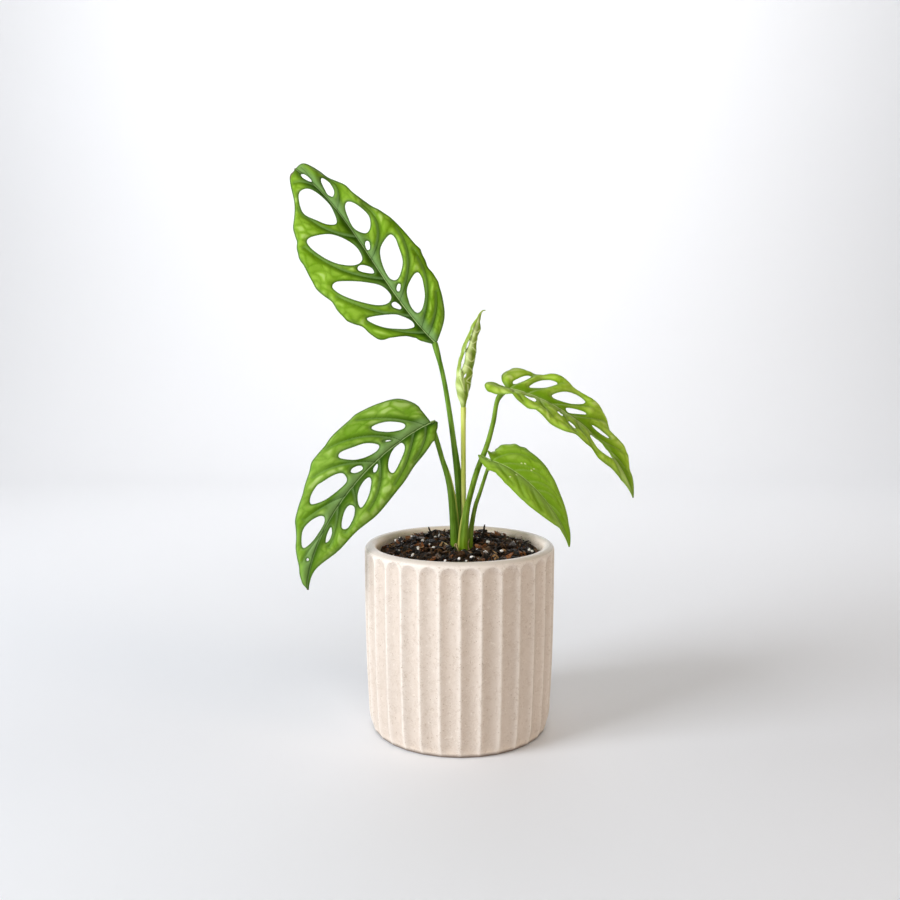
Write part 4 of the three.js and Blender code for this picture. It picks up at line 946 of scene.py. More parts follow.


# A blade's finish: deep green with soft yellow green swellings away from the veins, with a painted
# highlight on their tops, side veins darker in their sunken grooves, partly as painted shade, with a
# painted greyish sheen on their far side, a thin light midrib with more painted sheen on its right and
# painted shade in dark green on its left, painted sheen near the edges with a thin painted highlight
# along them, a net of fine veins, a few pale pin marks and a brown tip.
def bladeFinish(leaf):
    t = leaf["tones"]
    f = Finish(leaf["name"] + "Skin")
    f.set("Specular IOR Level", 0.1)
    f.set("Specular Tint", (0.85, 1.0, 0.35, 1))
    vein, rib, edge = f.field("vein"), f.field("rib"), f.field("edge")
    side, along = f.field("side"), f.field("along")
    mottle, patch = f.noise(160, 4.0), f.noise(55, 2.0)
    swelling = (f.field("cell").ramp(0.0, 0.7) * 0.85 + 0.15) * (f.field("shade") * 0.7 + 0.4)
    swelling = swelling + (mottle - 0.5) * 0.4
    swelling = swelling * vein.ramp(0.5, 3.4) * rib.ramp(2.0, 8.0) * edge.ramp(0.0, 2.0)
    swelling = swelling * (f.field("cloud") * 0.9 + 0.6)
    taper = 1 - f.field("veinAlong") * 0.6
    # painted sheen: greyish green right of the midrib
    paintedSheen = rib.ramp(1.5, 7.5, 1.0, 0.0) * side * (1 - along * 0.3) * patch.ramp(0.3, 0.55, 0.5, 1.0)
    net = f.field("cell").ramp(0.0, 0.2, 1.0, 0.0) * rib.ramp(1.5, 6.0) * mottle.ramp(0.35, 0.6)
    fine = f.cells(520, "DISTANCE_TO_EDGE").ramp(0.0, 0.06, 1.0, 0.0)
    coats = [  # each laid over the ones before it
        (f.field("cloud").ramp(0.15, 0.85) * 0.2, t["bright"]),
        (f.field("out").ramp(0.05, 0.7, 0.5, 0.0), t["vein"]),
        ((swelling * leaf["patches"] * 1.2).math("MINIMUM", 1.0), t["bright"]),
        # painted highlight: the tops of the swellings paler
        (swelling.ramp(0.55, 1.2) * leaf["patches"] * 0.5, t["rib"]),
        # darker green along the side veins: partly their own colour, partly painted shade in the sunken
        # grooves
        (vein.ramp(0.3, 3.0, 0.75, 0.0) * taper, t["vein"]),
        # painted shade: dark green beside the midrib, strongest on its left
        (rib.ramp(0.6, 6.0, 0.9, 0.0) * (1 - side * 0.6) * (1 - along * 0.3), t["vein"]),
        (paintedSheen * 0.75, t["sheen"]),
        # painted sheen on the far side of each side vein
        (vein.ramp(0.5, 2.4, 0.5, 0.0) * f.field("beyond") * taper, t["sheen"]),
        # painted sheen near the margin and the holes
        (edge.ramp(0.5, 2.5, 0.3, 0.0) * patch.ramp(0.4, 0.6), t["sheen"]),
        (net * 0.2, t["vein"]),
        (fine * 0.08, t["vein"]),
        (vein.ramp(0.10, 0.5, 0.6, 0.0) * taper, t["vein"]),
        (rib.ramp(0.5, 1.2, 0.6, 0.0), t["vein"]),
        (rib.ramp(0.2, 0.5, 0.9, 0.0) * (1 - along * 0.8), t["rib"]),
        (edge.ramp(0.2, 1.6, 0.6, 0.0), t["vein"]),
        # painted highlight: a thin pale line along the margin and the holes' rims
        (edge.ramp(0.05, 0.3, 0.15, 0.0), t["rib"]),
        (f.field("mark").ramp(0.35, 0.7, 0.85, 0.0), tone(222, 226, 168)),
        (f.field("under") * 0.45, tone(140, 170, 84)),
        (along.ramp(0.992, 1.0) * 0.8, tone(96, 66, 34)),
    ]
    color = t["deep"]
    for share, tint in coats:
        color = f.blend(share, color, tint)
    f.set("Base Color", color)
    f.set("Roughness", 0.45 + (mottle - 0.5) * 0.16)
    f.bump(f.noise(700, 3.0) * 0.5 + fine * -0.5 + net * -0.6, 0.00014, 0.5)
    return f.material


for leaf in leaves:
    makeBlade(leaf)


# Stalks

# For each stalk: its route, radii at even steps along it, the swelling under the blade, the sheath's
# margin as an angle round the stalk (0 is to the right, -90 to the front) and as widths at some
# heights, and the colours: deep, light and foot.
stalks = [
    {"name": "tallStalk", "node": "stalk_tall_leaf",
     "radii": [2.4, 2.35, 2.15, 1.75, 1.5, 1.4], "swell": 0.5,
     "route": [[0.6, 8.2, 96], [0.5, 8, 114], [0.3, 7.5, 135], [-0.8, 7, 157], [-3.4, 7, 180],
               [-6.6, 6.3, 203], [-10.5, 5.8, 225], [-15.7, 5.4, 245.4]],
     "sheathAngle": -8, "sheath": [[112, 0.2], [128, 0.6], [150, 0.9], [166, 0.4], [180, 0]],
     "tones": (tone(70, 108, 14), tone(118, 156, 56), tone(104, 146, 10))},
    {"name": "lowerStalk", "node": "stalk_lower_leaf",
     "radii": [2.6, 2.7, 2.35, 1.65, 1.55, 1.55], "swell": 0.4,
     "route": [[-3.1, 0.6, 96], [-3, 0.3, 114], [-3.4, 0, 127], [-4.6, 0, 142], [-7, -0.5, 158],
               [-11.1, -1.3, 173], [-15.6, -1.8, 188], [-18.7, -1.9, 194.4]],
     "sheathAngle": -5, "sheath": [[112, 0], [122, 0.3], [132, 1.0], [150, 1.3], [162, 0.9], [172, 0]],
     "tones": (tone(74, 112, 12), tone(116, 152, 54), tone(104, 150, 8))},
    {"name": "rightStalk", "node": "stalk_right_leaf",
     "radii": [2.7, 2.5, 1.85, 1.75, 1.5, 1.35], "swell": 0.5,
     "route": [[2.6, -3.6, 96], [2.6, -3.8, 114], [3.2, -3.3, 127], [4.6, -2.2, 140.5], [6.9, -0.5, 150],
               [11.3, 2, 165], [17.2, 4, 180], [21.3, 4.8, 195], [24.4, 5.6, 210], [29.3, 5.9, 215.8]],
     "sheathAngle": 190, "sheath": [[110, 1.6], [118, 1.5], [127, 1.3], [136, 0.7], [146, 0]],
     "tones": (tone(76, 108, 0), tone(124, 156, 50), tone(104, 134, 4))},
    {"name": "smallStalk", "node": "stalk_small_leaf",
     "radii": [1.8, 1.75, 1.55, 1.35, 1.15, 1.05], "swell": 0.3,
     "route": [[6.9, 1.6, 96], [6.8, 1.4, 114], [7.5, 1.1, 127], [10.1, 0.2, 142.4], [12.6, -0.4, 150],
               [15.4, -1.2, 159], [17.8, -2.4, 166.5], [20.1, -3.4, 170.8]],
     "sheathAngle": 205, "sheath": [[110, 0.9], [118, 0.8], [126, 0.5], [138, 0]],
     "tones": (tone(84, 116, 12), tone(130, 158, 62), tone(104, 132, 8))},
    {"name": "rolledStalk", "node": "stalk_rolled_leaf",
     "radii": [1.5, 1.5, 1.6], "swell": 0.1,
     "route": [[3, 3.4, 96], [3, 3.3, 114], [2.9, 3.4, 128], [2.7, 3.4, 140], [2.6, 3.6, 158],
               [2.4, 4.8, 186], [2.5, 5.9, 204.9]],
     "sheathAngle": 180, "sheath": [[140, 0], [141, 0]],
     "tones": (tone(176, 188, 56), tone(212, 218, 120), tone(186, 184, 48))},
]
stalkSet = {
    "around": 40, "along": 200, "swellAt": (0.9, 0.98), "endAt": 0.995, "endShare": 0.7,
    "flange": 0.2, "groove": 0.10, "grooveOff": 0.6, "grooveWidth": 0.3,  # widths in radians
    "ridges": 9, "ridge": 0.025, "ridgeTurn": 1.3,
}


# A stalk: a bar whose radius runs through the given radii, times 1 + ridge * cos(ridges * a + turn),
# with a thin margin of the leaf's sheath that stands out by width * exp(-(angle off it / flange)^2),
# and a groove of the same kind on both sides of it.
def makeStalk(stalk):
    st = stalkSet
    path, tangent = evenPath(centripetal(stalk["route"]), st["along"])
    s = np.linspace(0, 1, st["along"])
    a = 2 * math.pi * np.arange(st["around"]) / st["around"]
    radius = catmull(stalk["radii"], s) + stalk["swell"] * smoothstep(*st["swellAt"], s)
    radius *= np.where(s > st["endAt"], st["endShare"], 1)
    heights, widths = np.array(stalk["sheath"], float).T
    width = np.interp(path[:, 2], heights, widths, right=0)
    beside = (a - math.radians(stalk["sheathAngle"]) + math.pi) % (2 * math.pi) - math.pi
    flange = np.exp(-((beside / st["flange"]) ** 2))
    lines = st["ridge"] * np.cos(st["ridges"] * a + st["ridgeTurn"]) * smoothstep(0, 0.2, s)[:, None]
    r = radius[:, None] * (1 + lines) + width[:, None] * flange
    grooveAt = lambda off: np.exp(-(((beside - off) / st["grooveWidth"]) ** 2))
    groove = grooveAt(st["grooveOff"]) + grooveAt(-st["grooveOff"])
    r = r - (radius * st["groove"] * np.minimum(width, 1))[:, None] * groove
    rings = barSkin(path, tangent, a, r)
    pad = lambda field: np.concatenate([field[:1], field, field[-1:]])
    flat = np.ones(st["around"])
    fields = {"sheath": pad(np.minimum(width, 1)[:, None] * flange), "height": pad(path[:, 2:3] * flat),
              "groove": pad(np.minimum(width, 1)[:, None] * groove)}
    piece = addMesh(stalk["name"], rings.reshape(-1, 3), gridFaces(len(rings), st["around"], True), fields)
    closeEnds(piece, len(rings), st["around"])
    piece.data.polygons.foreach_set("use_smooth", np.ones(len(piece.data.polygons), bool))
    slot = "young_leaf" if stalk["node"] == "stalk_rolled_leaf" else "stalk"
    finishPiece(piece, stalkFinish(stalk), [stalk["node"]])


# A stalk's finish: fine lengthwise streaks between its deep and light green, its foot's green below,
# painted shade in its deep green in the grooves, with a pale sheath margin.
def stalkFinish(stalk):
    deep, light, foot = stalk["tones"]
    f = Finish(stalk["name"] + "Skin")
    f.set("Specular IOR Level", 0.1)
    f.set("Subsurface Weight", 0.05)
    f.set("Subsurface Radius", (0.0008, 0.0014, 0.0003))
    f.set("Subsurface Scale", 1.0)
    long = f.node("ShaderNodeMapping", {}, {"Vector": f.place(), "Scale": (1.0, 1.0, 0.06)})
    streak = f.noise(800, 3.0, Vector=long)
    soft = f.noise(70, 2.0)
    color = f.blend((streak * 0.8 + soft * 0.5).ramp(0.4, 0.85), deep, light)
    color = f.blend(f.field("height").ramp(112, 128, 0.8, 0.0), color, foot)
    # painted shade in the grooves beside the sheath margin
    color = f.blend(f.field("groove") * 0.35, color, deep)
    color = f.blend(f.field("sheath").ramp(0.15, 0.7) * 0.85, color, tone(186, 188, 92))
    f.set("Base Color", color)
    f.set("Roughness", 0.38 + streak * 0.12)
    f.bump(streak, 0.0001, 0.5)
    return f.material


for stalk in stalks:
    makeStalk(stalk)
print("stalks made")


# Rolled leaf

rollSet = {
    # the spine's points, each with the roll's radius there
    "spine": [[2.5, 6, 204.5, 1.7], [2.4, 6, 207.5, 2.4], [2.2, 6, 211.5, 3.7], [2.5, 6, 217.6, 5.15],
              [3.2, 6, 226, 5.5], [4.9, 6, 234.5, 5.4], [6.6, 6, 242.8, 4.8], [8.4, 6, 249, 3.55],
              [10.2, 6, 254.3, 3.5], [11.1, 6, 257.8, 2.3], [12.1, 6, 260.6, 1.3], [13.1, 6, 263.2, 0.75],
              [14.6, 6, 264.9, 0.5], [16.2, 6, 265.2, 0.32]],
    "turns": 1.4, "step": 0.9, "fullStep": 4.0, "thickness": 0.42, "rows": 300, "around": 150,
    "samples": 400, "waves": 3, "waveTwist": 26, "waveHeight": 0.12, "least": 0.12,
    "bulges": 8.5, "bulgeTwist": 0.9, "bulgeHeight": 0.25,
    "veinWidth": 0.35, "veinHeight": 0.16, "foldWidth": 0.6, "foldDepth": 0.3,
    "latticeTurn": 0.9, "latticeRise": (21, 17), "latticeStep": 2.2,
    "freeEdge": [-70, -78, -92, -112, -118, -116, -112, -110, -106, -100],  # degrees, from foot to tip
    # x and z of the middle, length, width and turn of each slot
    "slots": [[3.5, 224.4, 3.6, 1.3, 66], [2.2, 233.6, 13.0, 2.0, 77], [5.2, 243.8, 6.6, 1.4, 70]],
    # light veins seen from the front, as (x, z) from end to end
    "veins": [[[3.4, 231], [6.4, 229.3], [8.5, 226.2]], [[8.5, 226.2], [6.6, 223.8], [4.3, 221.6]],
              [[8, 242.2], [9.4, 240.6], [11, 239]], [[8.6, 252.8], [10.8, 251.6], [13.3, 253.8]],
              [[0.3, 223.4], [1.8, 219], [3.5, 214.3]], [[1.6, 226], [2.6, 220.5], [2.9, 216]],
              [[4.4, 221], [6.8, 219.6], [7.6, 218]], [[5.0, 219], [5.3, 214], [5.0, 210.5]],
              [[4.5, 236.6], [7.0, 233.4], [9.4, 235]], [[5.6, 247.6], [8.2, 244.6], [11.4, 247]]],
    "folds": [[[3.6, 214.4], [4.6, 212.6]], [[6.2, 231.4], [7.2, 229.8], [8.4, 231.6]],
              [[7.8, 238.8], [8.8, 237]], [[10.9, 257], [11.6, 254.6]]],
}


# The rolled leaf: a sheet along a spine, wound `turns` times. Its angle is freeEdge - 360 * turns * t
# and its radius is the spine's less step * turns * t, so t = 0 is the free edge outside, plus
# waveHeight * radius / 5 * sin(waves * angle + waveTwist * v).
def rollPlace(t, v):
    r = rollSet
    path, tangent = evenPath(centripetal(r["spine"]), r["samples"])
    at = np.clip(v, 0, 1) * (r["samples"] - 1)
    order = np.arange(r["samples"])
    pick = lambda table: np.stack([np.interp(at, order, column) for column in table.T], -1)
    middle, direction = pick(path), pick(tangent)
    side, back = squareTo(direction)
    full = middle[..., 3]
    step = r["step"] * np.minimum(1, full / r["fullStep"])
    angle = np.radians(catmull(r["freeEdge"], np.clip(v, 0, 1))) - 2 * math.pi * r["turns"] * t
    radius = full - step * r["turns"] * t - r["thickness"] / 2
    radius += r["waveHeight"] * full / 5 * np.sin(r["waves"] * angle + r["waveTwist"] * v)
    radius = np.maximum(radius, r["least"] * full)
    outward = side * np.cos(angle)[..., None] + back * np.sin(angle)[..., None]
    return middle[..., :3] + outward * radius[..., None], outward, angle


# A slot's outline, a lens: half width * (1 - (2 p / length)^2) on both sides of its long axis, which
# is turned from the x axis.
def slotOutline(slot):
    steps = 14
    x, z, length, width, turn = slot
    p = np.linspace(-0.5, 0.5, steps + 1)
    q = width / 2 * (1 - (2 * p) ** 2)
    p, q = np.r_[p, p[-2::-1]] * length, np.r_[q, -q[-2::-1]]
    c, s = math.cos(math.radians(turn)), math.sin(math.radians(turn))
    return np.stack([x + p * c - q * s, z + p * s + q * c], -1)


# The rolled leaf's sheet: cut at the slots as they are seen from the front, lifted by
# veinHeight * exp(-(distance to a vein / width)^2) and by bulges that wind round it, cos(2 pi *
# (bulges * v + bulgeTwist * angle / pi)), and pressed in by foldDepth along the folds.
def makeRoll():
    r = rollSet
    t, v = np.meshgrid(np.linspace(0, 1, r["around"] + 1), np.linspace(0, 1, r["rows"] + 1))

    def seen(tt, vv):
        place = rollPlace(tt, vv)[0]
        return place[..., 0], place[..., 2]

    t, v, triangles, gap = cutGrid(t, v, seen, [slotOutline(slot) for slot in r["slots"]])
    points, outward, angle = rollPlace(t, v)
    facing = smoothstep(0.2, -0.4, outward[:, 1])
    vein, fold = np.full(t.shape, farAway), np.full(t.shape, farAway)
    seenX, seenZ = points[:, 0], points[:, 2]
    for path in r["veins"]:
        curve = catmull(path, np.linspace(0, 1, 12))
        vein = np.minimum(vein, distanceTo(curve, seenX, seenZ)[0])
    for path in r["folds"]:
        fold = np.minimum(fold, distanceTo(np.array(path), seenX, seenZ)[0])
    # behind and at the sides the veins are two sets of slanting lines round the roll
    winding, (rising, falling) = angle * r["latticeTurn"], r["latticeRise"]
    lattice = np.minimum(np.abs((winding + v * rising) % math.pi - math.pi / 2),
                         np.abs((winding - v * falling) % math.pi - math.pi / 2))
    vein = vein * facing + (1 - facing) * lattice * r["latticeStep"]
    ridge = np.exp(-((vein / r["veinWidth"]) ** 2)) * smoothstep(0.0, 0.06, v) * smoothstep(1.0, 0.9, v)
    bulge = 0.5 + 0.5 * np.cos(2 * math.pi * (r["bulges"] * v + r["bulgeTwist"] * angle / math.pi))
    bulgeLift = r["bulgeHeight"] * (bulge - 0.5) * smoothstep(1, 0.9, v) * smoothstep(0, 0.1, v)
    pressed = r["foldDepth"] * np.exp(-((fold / r["foldWidth"]) ** 2)) * facing
    points = points + outward * (r["veinHeight"] * ridge + bulgeLift - pressed)[:, None]
    half = np.full(len(t), r["thickness"] / 2)
    points, faces = sheet(points, triangles, outward, half, half)
    freeEdge = t * 2 * math.pi * 5  # mm from the free edge, for a roll of 5 mm radius
    kept = {"vein": vein, "fold": np.where(facing > 0.5, fold, 9), "height": v, "turn": t,
            "edge": np.minimum(freeEdge, gap), "right": outward[:, 0], "bulge": bulge}
    fields = {key: bothSides(values) for key, values in kept.items()}
    piece = addMesh("rolledLeaf", points, faces, fields, 50)
    finishPiece(piece, rollFinish(), ["rolled_leaf"])
    print("rolled leaf", len(faces), "triangles")


# The rolled leaf's skin: light yellow green on the left and olive on the right, painted light and shade
# as if lit from the left, light yellow green on the free edge low down, light ridges along the veins
# with painted shade in the crease beside each, painted shade between the bulges, along the folds and
# at the flap's edge and the slots up high, and painted highlights on the bulges and the tube's left.
def rollFinish():
    f = Finish("rolledLeafSkin", Roughness=0.3)
    f.set("Specular IOR Level", 0.35)
    f.set("Subsurface Weight", 0.1)
    f.set("Subsurface Radius", (0.0012, 0.0014, 0.0004))
    f.set("Subsurface Scale", 1.0)
    soft, height = f.noise(160, 3.0), f.field("height")
    right, bulge, vein, edge = f.field("right"), f.field("bulge"), f.field("vein"), f.field("edge")
    upper = height.ramp(0.3, 0.42)
    flap = f.field("turn").ramp(0.1, 0.16, 1.0, 0.0)
    # painted highlight on the tube's left, beside the flap
    gleam = right.ramp(0.7, -0.1) * bulge.ramp(0.2, 0.7, 0.6, 1.0) * (1 - flap)
    # painted light and shade: light yellow green on the left, olive on the right
    color = f.blend(right.ramp(-0.7, 0.5) + (soft - 0.5) * 0.5, tone(192, 208, 122), tone(122, 148, 10))
    coats = [  # each laid over the ones before it
        # painted shade between the bulges
        (bulge.ramp(0.15, 0.6, 0.45, 0.0), (112, 138, 14)),
        # painted highlight on the bulges' tops, on the left
        (bulge.ramp(0.6, 1.0) * right.ramp(0.5, -0.3) * 0.5, (214, 226, 160)),
        # painted shade in the creases beside the veins
        (vein.ramp(0.5, 1.6, 0.5, 0.0), (108, 136, 4)),
        (vein.ramp(0.15, 0.5, 0.7, 0.0), (208, 222, 144)),
        # painted shade along the folds
        (f.field("fold").ramp(0.2, 1.3, 0.8, 0.0), (100, 130, 6)),
        (flap * upper * 0.8, (136, 162, 44)),
        (gleam * upper * 0.85, (216, 228, 160)),
        # painted shade at the flap's edge and round the slots, in the upper part
        (edge.ramp(0.2, 1.0, 0.6, 0.0) * upper, (116, 144, 16)),
        (edge.ramp(0.1, 0.4, 0.5, 0.0) * (1 - upper), (190, 206, 120)),
        (height.ramp(0.88, 1.0) * 0.6, (132, 154, 24)),
    ]
    for share, bytes255 in coats:
        color = f.blend(share, color, tone(*bytes255))
    f.set("Base Color", color)
    f.bump(f.noise(600, 2.0), 0.0001, 0.4)
    return f.material


makeRoll()


# Potting mix

mixSet = {
    "middle": 117.0, "edge": 111.4, "slope": 0.085, "wall": 51.6, "floorTop": 9.3, "foot": 45.2,
    "columns": 300, "rings": 90, "seed": 4, "dip": 4.8, "dipPlace": (2, -6), "dipSize": (9, 6),
    "settled": 1.2,  # mm that strewn pieces sink in near the wall
    "grit": ((0.9, 3.1), (0.6, 1.3), (0.3, 0.6)), "gritSeed": 31,  # noises: height and size
    "under": 0.8,  # mm from the strewn pieces' surface down to the body's
}
# strewn pieces: how many, half length, half width and half thickness, how much their points are
# shaken, lean in radians, how far out they lie, how far they keep clear of the stalks, how high their
# middles lie over the surface, and the part of the bark's shades that they have
mixPieces = {
    "barkChunks": {"count": 170, "long": (2.2, 5.0), "wide": (1.3, 2.8), "thick": (0.7, 1.5),
                   "shake": 0.5, "lean": 0.5, "reach": 48.0, "clear": 9.5, "lift": (-0.2, 2.1),
                   "shade": (0, 1)},
    "rimChips": {"count": 44, "long": (1.6, 3.0), "wide": (0.9, 1.8), "thick": (0.3, 0.7),
                 "shake": 0.4, "lean": 0.6, "reach": 49.5, "clear": 35.0, "lift": (1.0, 2.2),
                 "shade": (0.885, 0.965)},
    "barkFlakes": {"count": 560, "long": (1.2, 3.2), "wide": (0.5, 1.3), "thick": (0.25, 0.6),
                   "shake": 0.45, "lean": 0.7, "reach": 50.0, "clear": 7.0, "lift": (-0.2, 1.9),
                   "shade": (0, 1)},
    "shards": {"count": 110, "long": (0.3, 0.7), "wide": (0.4, 1.2), "thick": (1.2, 2.6),
               "shake": 0.35, "lean": 0.9, "reach": 49.0, "clear": 9.0, "lift": (0.2, 1.7),
               "shade": (0, 1)},
    "crumbs": {"count": 900, "long": (0.3, 0.9), "wide": (0.3, 0.9), "thick": (0.25, 0.8),
               "shake": 0.3, "lean": 1.0, "reach": 51.0, "clear": 6.5, "lift": (-0.2, 1.5),
               "shade": (0, 1)},
    "perlite": {"count": 58, "long": (0.7, 1.6), "wide": (0.6, 1.3), "thick": (0.6, 1.1),
                "shake": 0.2, "lean": 1.0, "reach": 49.0, "clear": 8.5, "lift": (1.2, 2.3),
                "shade": (0, 1)},
}


# The surface of the mix: middle + (edge - middle) * 1.4 (r / pot's radius)^2, kept within the edge's
# height, tilted by slope * y, with two broad waves and a dip in front of the stalks.
def mixHeight(x, y):
    m = mixSet
    out = (np.hypot(x, y) / potSet["radius"]) ** 2
    mound = m["middle"] + (m["edge"] - m["middle"]) * np.minimum(1, 1.4 * out)
    broad = 0.8 * np.sin(0.31 * x + 0.9) * np.cos(0.27 * y)
    (dipX, dipY), (dipWide, dipDeep) = m["dipPlace"], m["dipSize"]
    dip = m["dip"] * np.exp(-(((x - dipX) / dipWide) ** 2) - ((y - dipY) / dipDeep) ** 2)
    return mound + m["slope"] * y + broad + 0.5 * np.sin(0.52 * y + 0.35 * x) - dip


# The body of the mix: rings from the pot's floor up its wall and in over the heaped surface, whose
# height is mixHeight - under plus noise at three sizes.
def makeMixBody():
    m = mixSet
    wall = potSet["innerFoot"] + 0.2
    sweep = np.linspace(1, 0.004, m["rings"]) * m["wall"]
    r = np.r_[0.02 * m["foot"], m["foot"], wall - 0.6, np.linspace(wall, m["wall"], 6)[1:-1], sweep]
    z = np.r_[m["floorTop"], m["floorTop"], m["floorTop"] + 5, np.linspace(20, m["edge"] - 4, 6)[1:-1]]
    a = 2 * math.pi * np.arange(m["columns"]) / m["columns"]
    x, y = r[:, None] * np.cos(a), r[:, None] * np.sin(a)
    top = mixHeight(x, y) - m["under"]
    for seed, (high, size) in enumerate(m["grit"], m["gritSeed"]):
        top += high * softNoise(x, y, size, seed)
    walls = np.r_[z, np.zeros(len(r) - len(z))][:, None]
    height = np.where(np.arange(len(r))[:, None] < len(z), walls, top)
    points = np.stack([x, y, height], -1)
    body = addMesh("mixBody", points.reshape(-1, 3), gridFaces(len(r), m["columns"], True),
                   {"shade": 0.5 + 0.5 * softNoise(x, y, 1.1, m["gritSeed"] + 3)})
    closeEnds(body, len(r), m["columns"])
    finishPiece(body, barkFinish(), ["potting_mix"])


# Turns about z, then leans: one 3 x 3 matrix for each piece.
def turned(count, draw, lean):
    turn = draw.uniform(0, 2 * math.pi, count)
    leanX, leanY = draw.normal(0, lean, count), draw.normal(0, lean, count)
    one, zero = np.ones(count), np.zeros(count)
    matrix = lambda *entries: np.stack(entries, -1).reshape(-1, 3, 3)
    c, s = np.cos(turn), np.sin(turn)
    aboutZ = matrix(c, -s, zero, s, c, zero, zero, zero, one)
    c, s = np.cos(leanX), np.sin(leanX)
    aboutX = matrix(one, zero, zero, zero, c, -s, zero, s, c)
    c, s = np.cos(leanY), np.sin(leanY)
    aboutY = matrix(c, zero, s, zero, one, zero, -s, zero, c)
    return aboutZ @ aboutX @ aboutY


# Places on the mix within `reach` of its middle and clear of the stalks' feet, an oval of half width
# 1.25 * clear and half depth clear. Six times as many are drawn as are needed.
def scattered(count, draw, reach, clear=7.0):
    drawn = count * 6
    out = reach * np.sqrt(draw.uniform(0.0, 1, drawn))
    a = draw.uniform(0, 2 * math.pi, drawn)
    x, y = out * np.cos(a), out * np.sin(a)
    free = ((x - 2) / 1.25) ** 2 + (y - 2.2) ** 2 > clear**2
    return x[free][:count], y[free][:count]


# The points and faces of an icosahedron, the form that every strewn piece starts as.
def icosphere():
    mesh = bmesh.new()
    bmesh.ops.create_icosphere(mesh, subdivisions=1, radius=1)
    points = np.array([v.co[:] for v in mesh.verts])
    faces = np.array([[v.index for v in f.verts] for f in mesh.faces])
    mesh.free()
    return points, faces


# Many copies of a form: each with its points shaken, scaled, turned, moved to its place and kept
# inside the wall.
def strewn(name, form, faces, size, shake, lean, places, lift, shades, draw, material):
    count = len(places[0])
    x, y = places
    body = form[None] * (1 + shake * draw.uniform(-1, 1, (count, len(form), 3))) * size[:, None, :]
    body = np.einsum("nij,npj->npi", turned(count, draw, lean), body)
    body += np.stack([x, y, mixHeight(x, y) + lift], -1)[:, None, :]
    out = np.hypot(body[..., 0], body[..., 1])
    body[..., :2] *= np.minimum(1, mixSet["wall"] / np.maximum(out, 1e-6))[..., None]
    allFaces = (faces[None] + len(form) * np.arange(count)[:, None, None]).reshape(-1, faces.shape[1])
    shade = np.repeat(draw.uniform(*shades, count), len(form))
    piece = addMesh(name, body.reshape(-1, 3), allFaces, {"shade": shade}, sharpDegrees=0)
    finishPiece(piece, material)


# Every kind of strewn piece in turn, then the fibres, all from one row of random numbers.
def makeMixPieces():
    draw = np.random.default_rng(mixSet["seed"])
    ball, ballFaces = icosphere()
    for name, p in mixPieces.items():
        n = p["count"]
        size = np.stack([draw.uniform(*p[key], n) for key in ("long", "wide", "thick")], -1)
        places = scattered(n, draw, p["reach"], p["clear"])
        finish = perliteFinish() if name == "perlite" else barkFinish()
        nearWall = smoothstep(38, 50, np.hypot(*places))
        lift = draw.uniform(*p["lift"], n) - mixSet["settled"] * nearWall
        strewn(name, ball, ballFaces, size, p["shake"], p["lean"], places, lift, p["shade"], draw, finish)
    makeFibres(draw)


# rods: route, first and last radius, and how flat they are
twigs = [  # two forked splinters behind the stalks
    [[[-15, 12, 112], [-17, 12.1, 117.5], [-18.3, 12.3, 122], [-19.9, 12.5, 126.6]], 1.3, 0.35, 0.6],
    [[[-17.6, 12.2, 120], [-18.8, 12.2, 122.4], [-20.4, 12.2, 123.6]], 0.8, 0.3, 0.6],
    [[[13.6, 15, 112], [14.8, 15, 117.5], [15.8, 15, 123], [16.6, 15, 127.6]], 1.4, 0.4, 0.6],
    [[[15, 15, 119], [16.2, 15, 122.4], [17.9, 15.1, 124.2]], 0.9, 0.3, 0.6],
    [[[11.4, 13.6, 113], [12.2, 13.2, 117.5], [13.6, 13, 120.4]], 1.1, 0.4, 0.6],
]
trims = [  # dry scraps of leaf sheath at the stalks' feet and a pale root
    [[[-1.8, -4.6, 119], [-2, -5, 117.8], [-1.4, -5.6, 116], [-0.8, -6, 114]], 0.2, 0.45, 0.35],
    [[[-3, -2.8, 116.5], [-2.9, -3, 118.2], [-2.3, -3.6, 118.8], [-1.6, -4.2, 118.4]], 0.5, 0.2, 0.5],
    [[[-9.8, -2, 119.2], [-8.4, -3, 118.6], [-7, -4.2, 117.6], [-6, -5.4, 116]], 0.25, 0.4, 0.9],
    [[[6.5, -1.2, 121.6], [5.3, -2.4, 118], [6, -2.8, 114.6]], 0.15, 0.45, 0.5],
]


rodSet = {"along": 24, "around": 10, "shade": 0.35}


# A rod along its route, its radius shaken by 0.25 sin(3a + 19s) + 0.15 cos(5a - 31s).
def makeRod(name, rod, material):
    route, first, last, flat = rod
    along, around = rodSet["along"], rodSet["around"]
    path, tangent = evenPath(centripetal(route), along)
    s = np.linspace(0, 1, along)[:, None]
    a = 2 * math.pi * np.arange(around) / around
    rough = 1 + 0.25 * np.sin(3 * a + 19 * s) + 0.15 * np.cos(5 * a - 31 * s)
    rings = barSkin(path, tangent, a, (first + (last - first) * s) * rough, flat)
    shade = np.full(rings.size // 3, rodSet["shade"])
    piece = addMesh(name, rings.reshape(-1, 3), gridFaces(len(rings), around, True), {"shade": shade})
    closeEnds(piece, len(rings), around)
    finishPiece(piece, material)


# The twigs, of bark, and the scraps of dry sheath, pale brown and streaky.
def makeRods():
    for number, rod in enumerate(twigs):
        makeRod("twig%d" % number, rod, barkFinish())
    dry = Finish("drySheath", Roughness=0.6)
    dry.set("Base Color", dry.blend(dry.noise(700, 3.0), tone(150, 120, 66), tone(226, 206, 150)))
    for number, rod in enumerate(trims):
        makeRod("sheathScrap%d" % number, rod, dry.material)


fibreSet = {"count": 260, "along": 8, "around": 4, "reach": 46.0, "wall": 50.5, "bend": 1.6,
            "length": (3, 11), "lift": (0.3, 1.4), "arch": 1.6, "radius": (0.12, 0.34)}


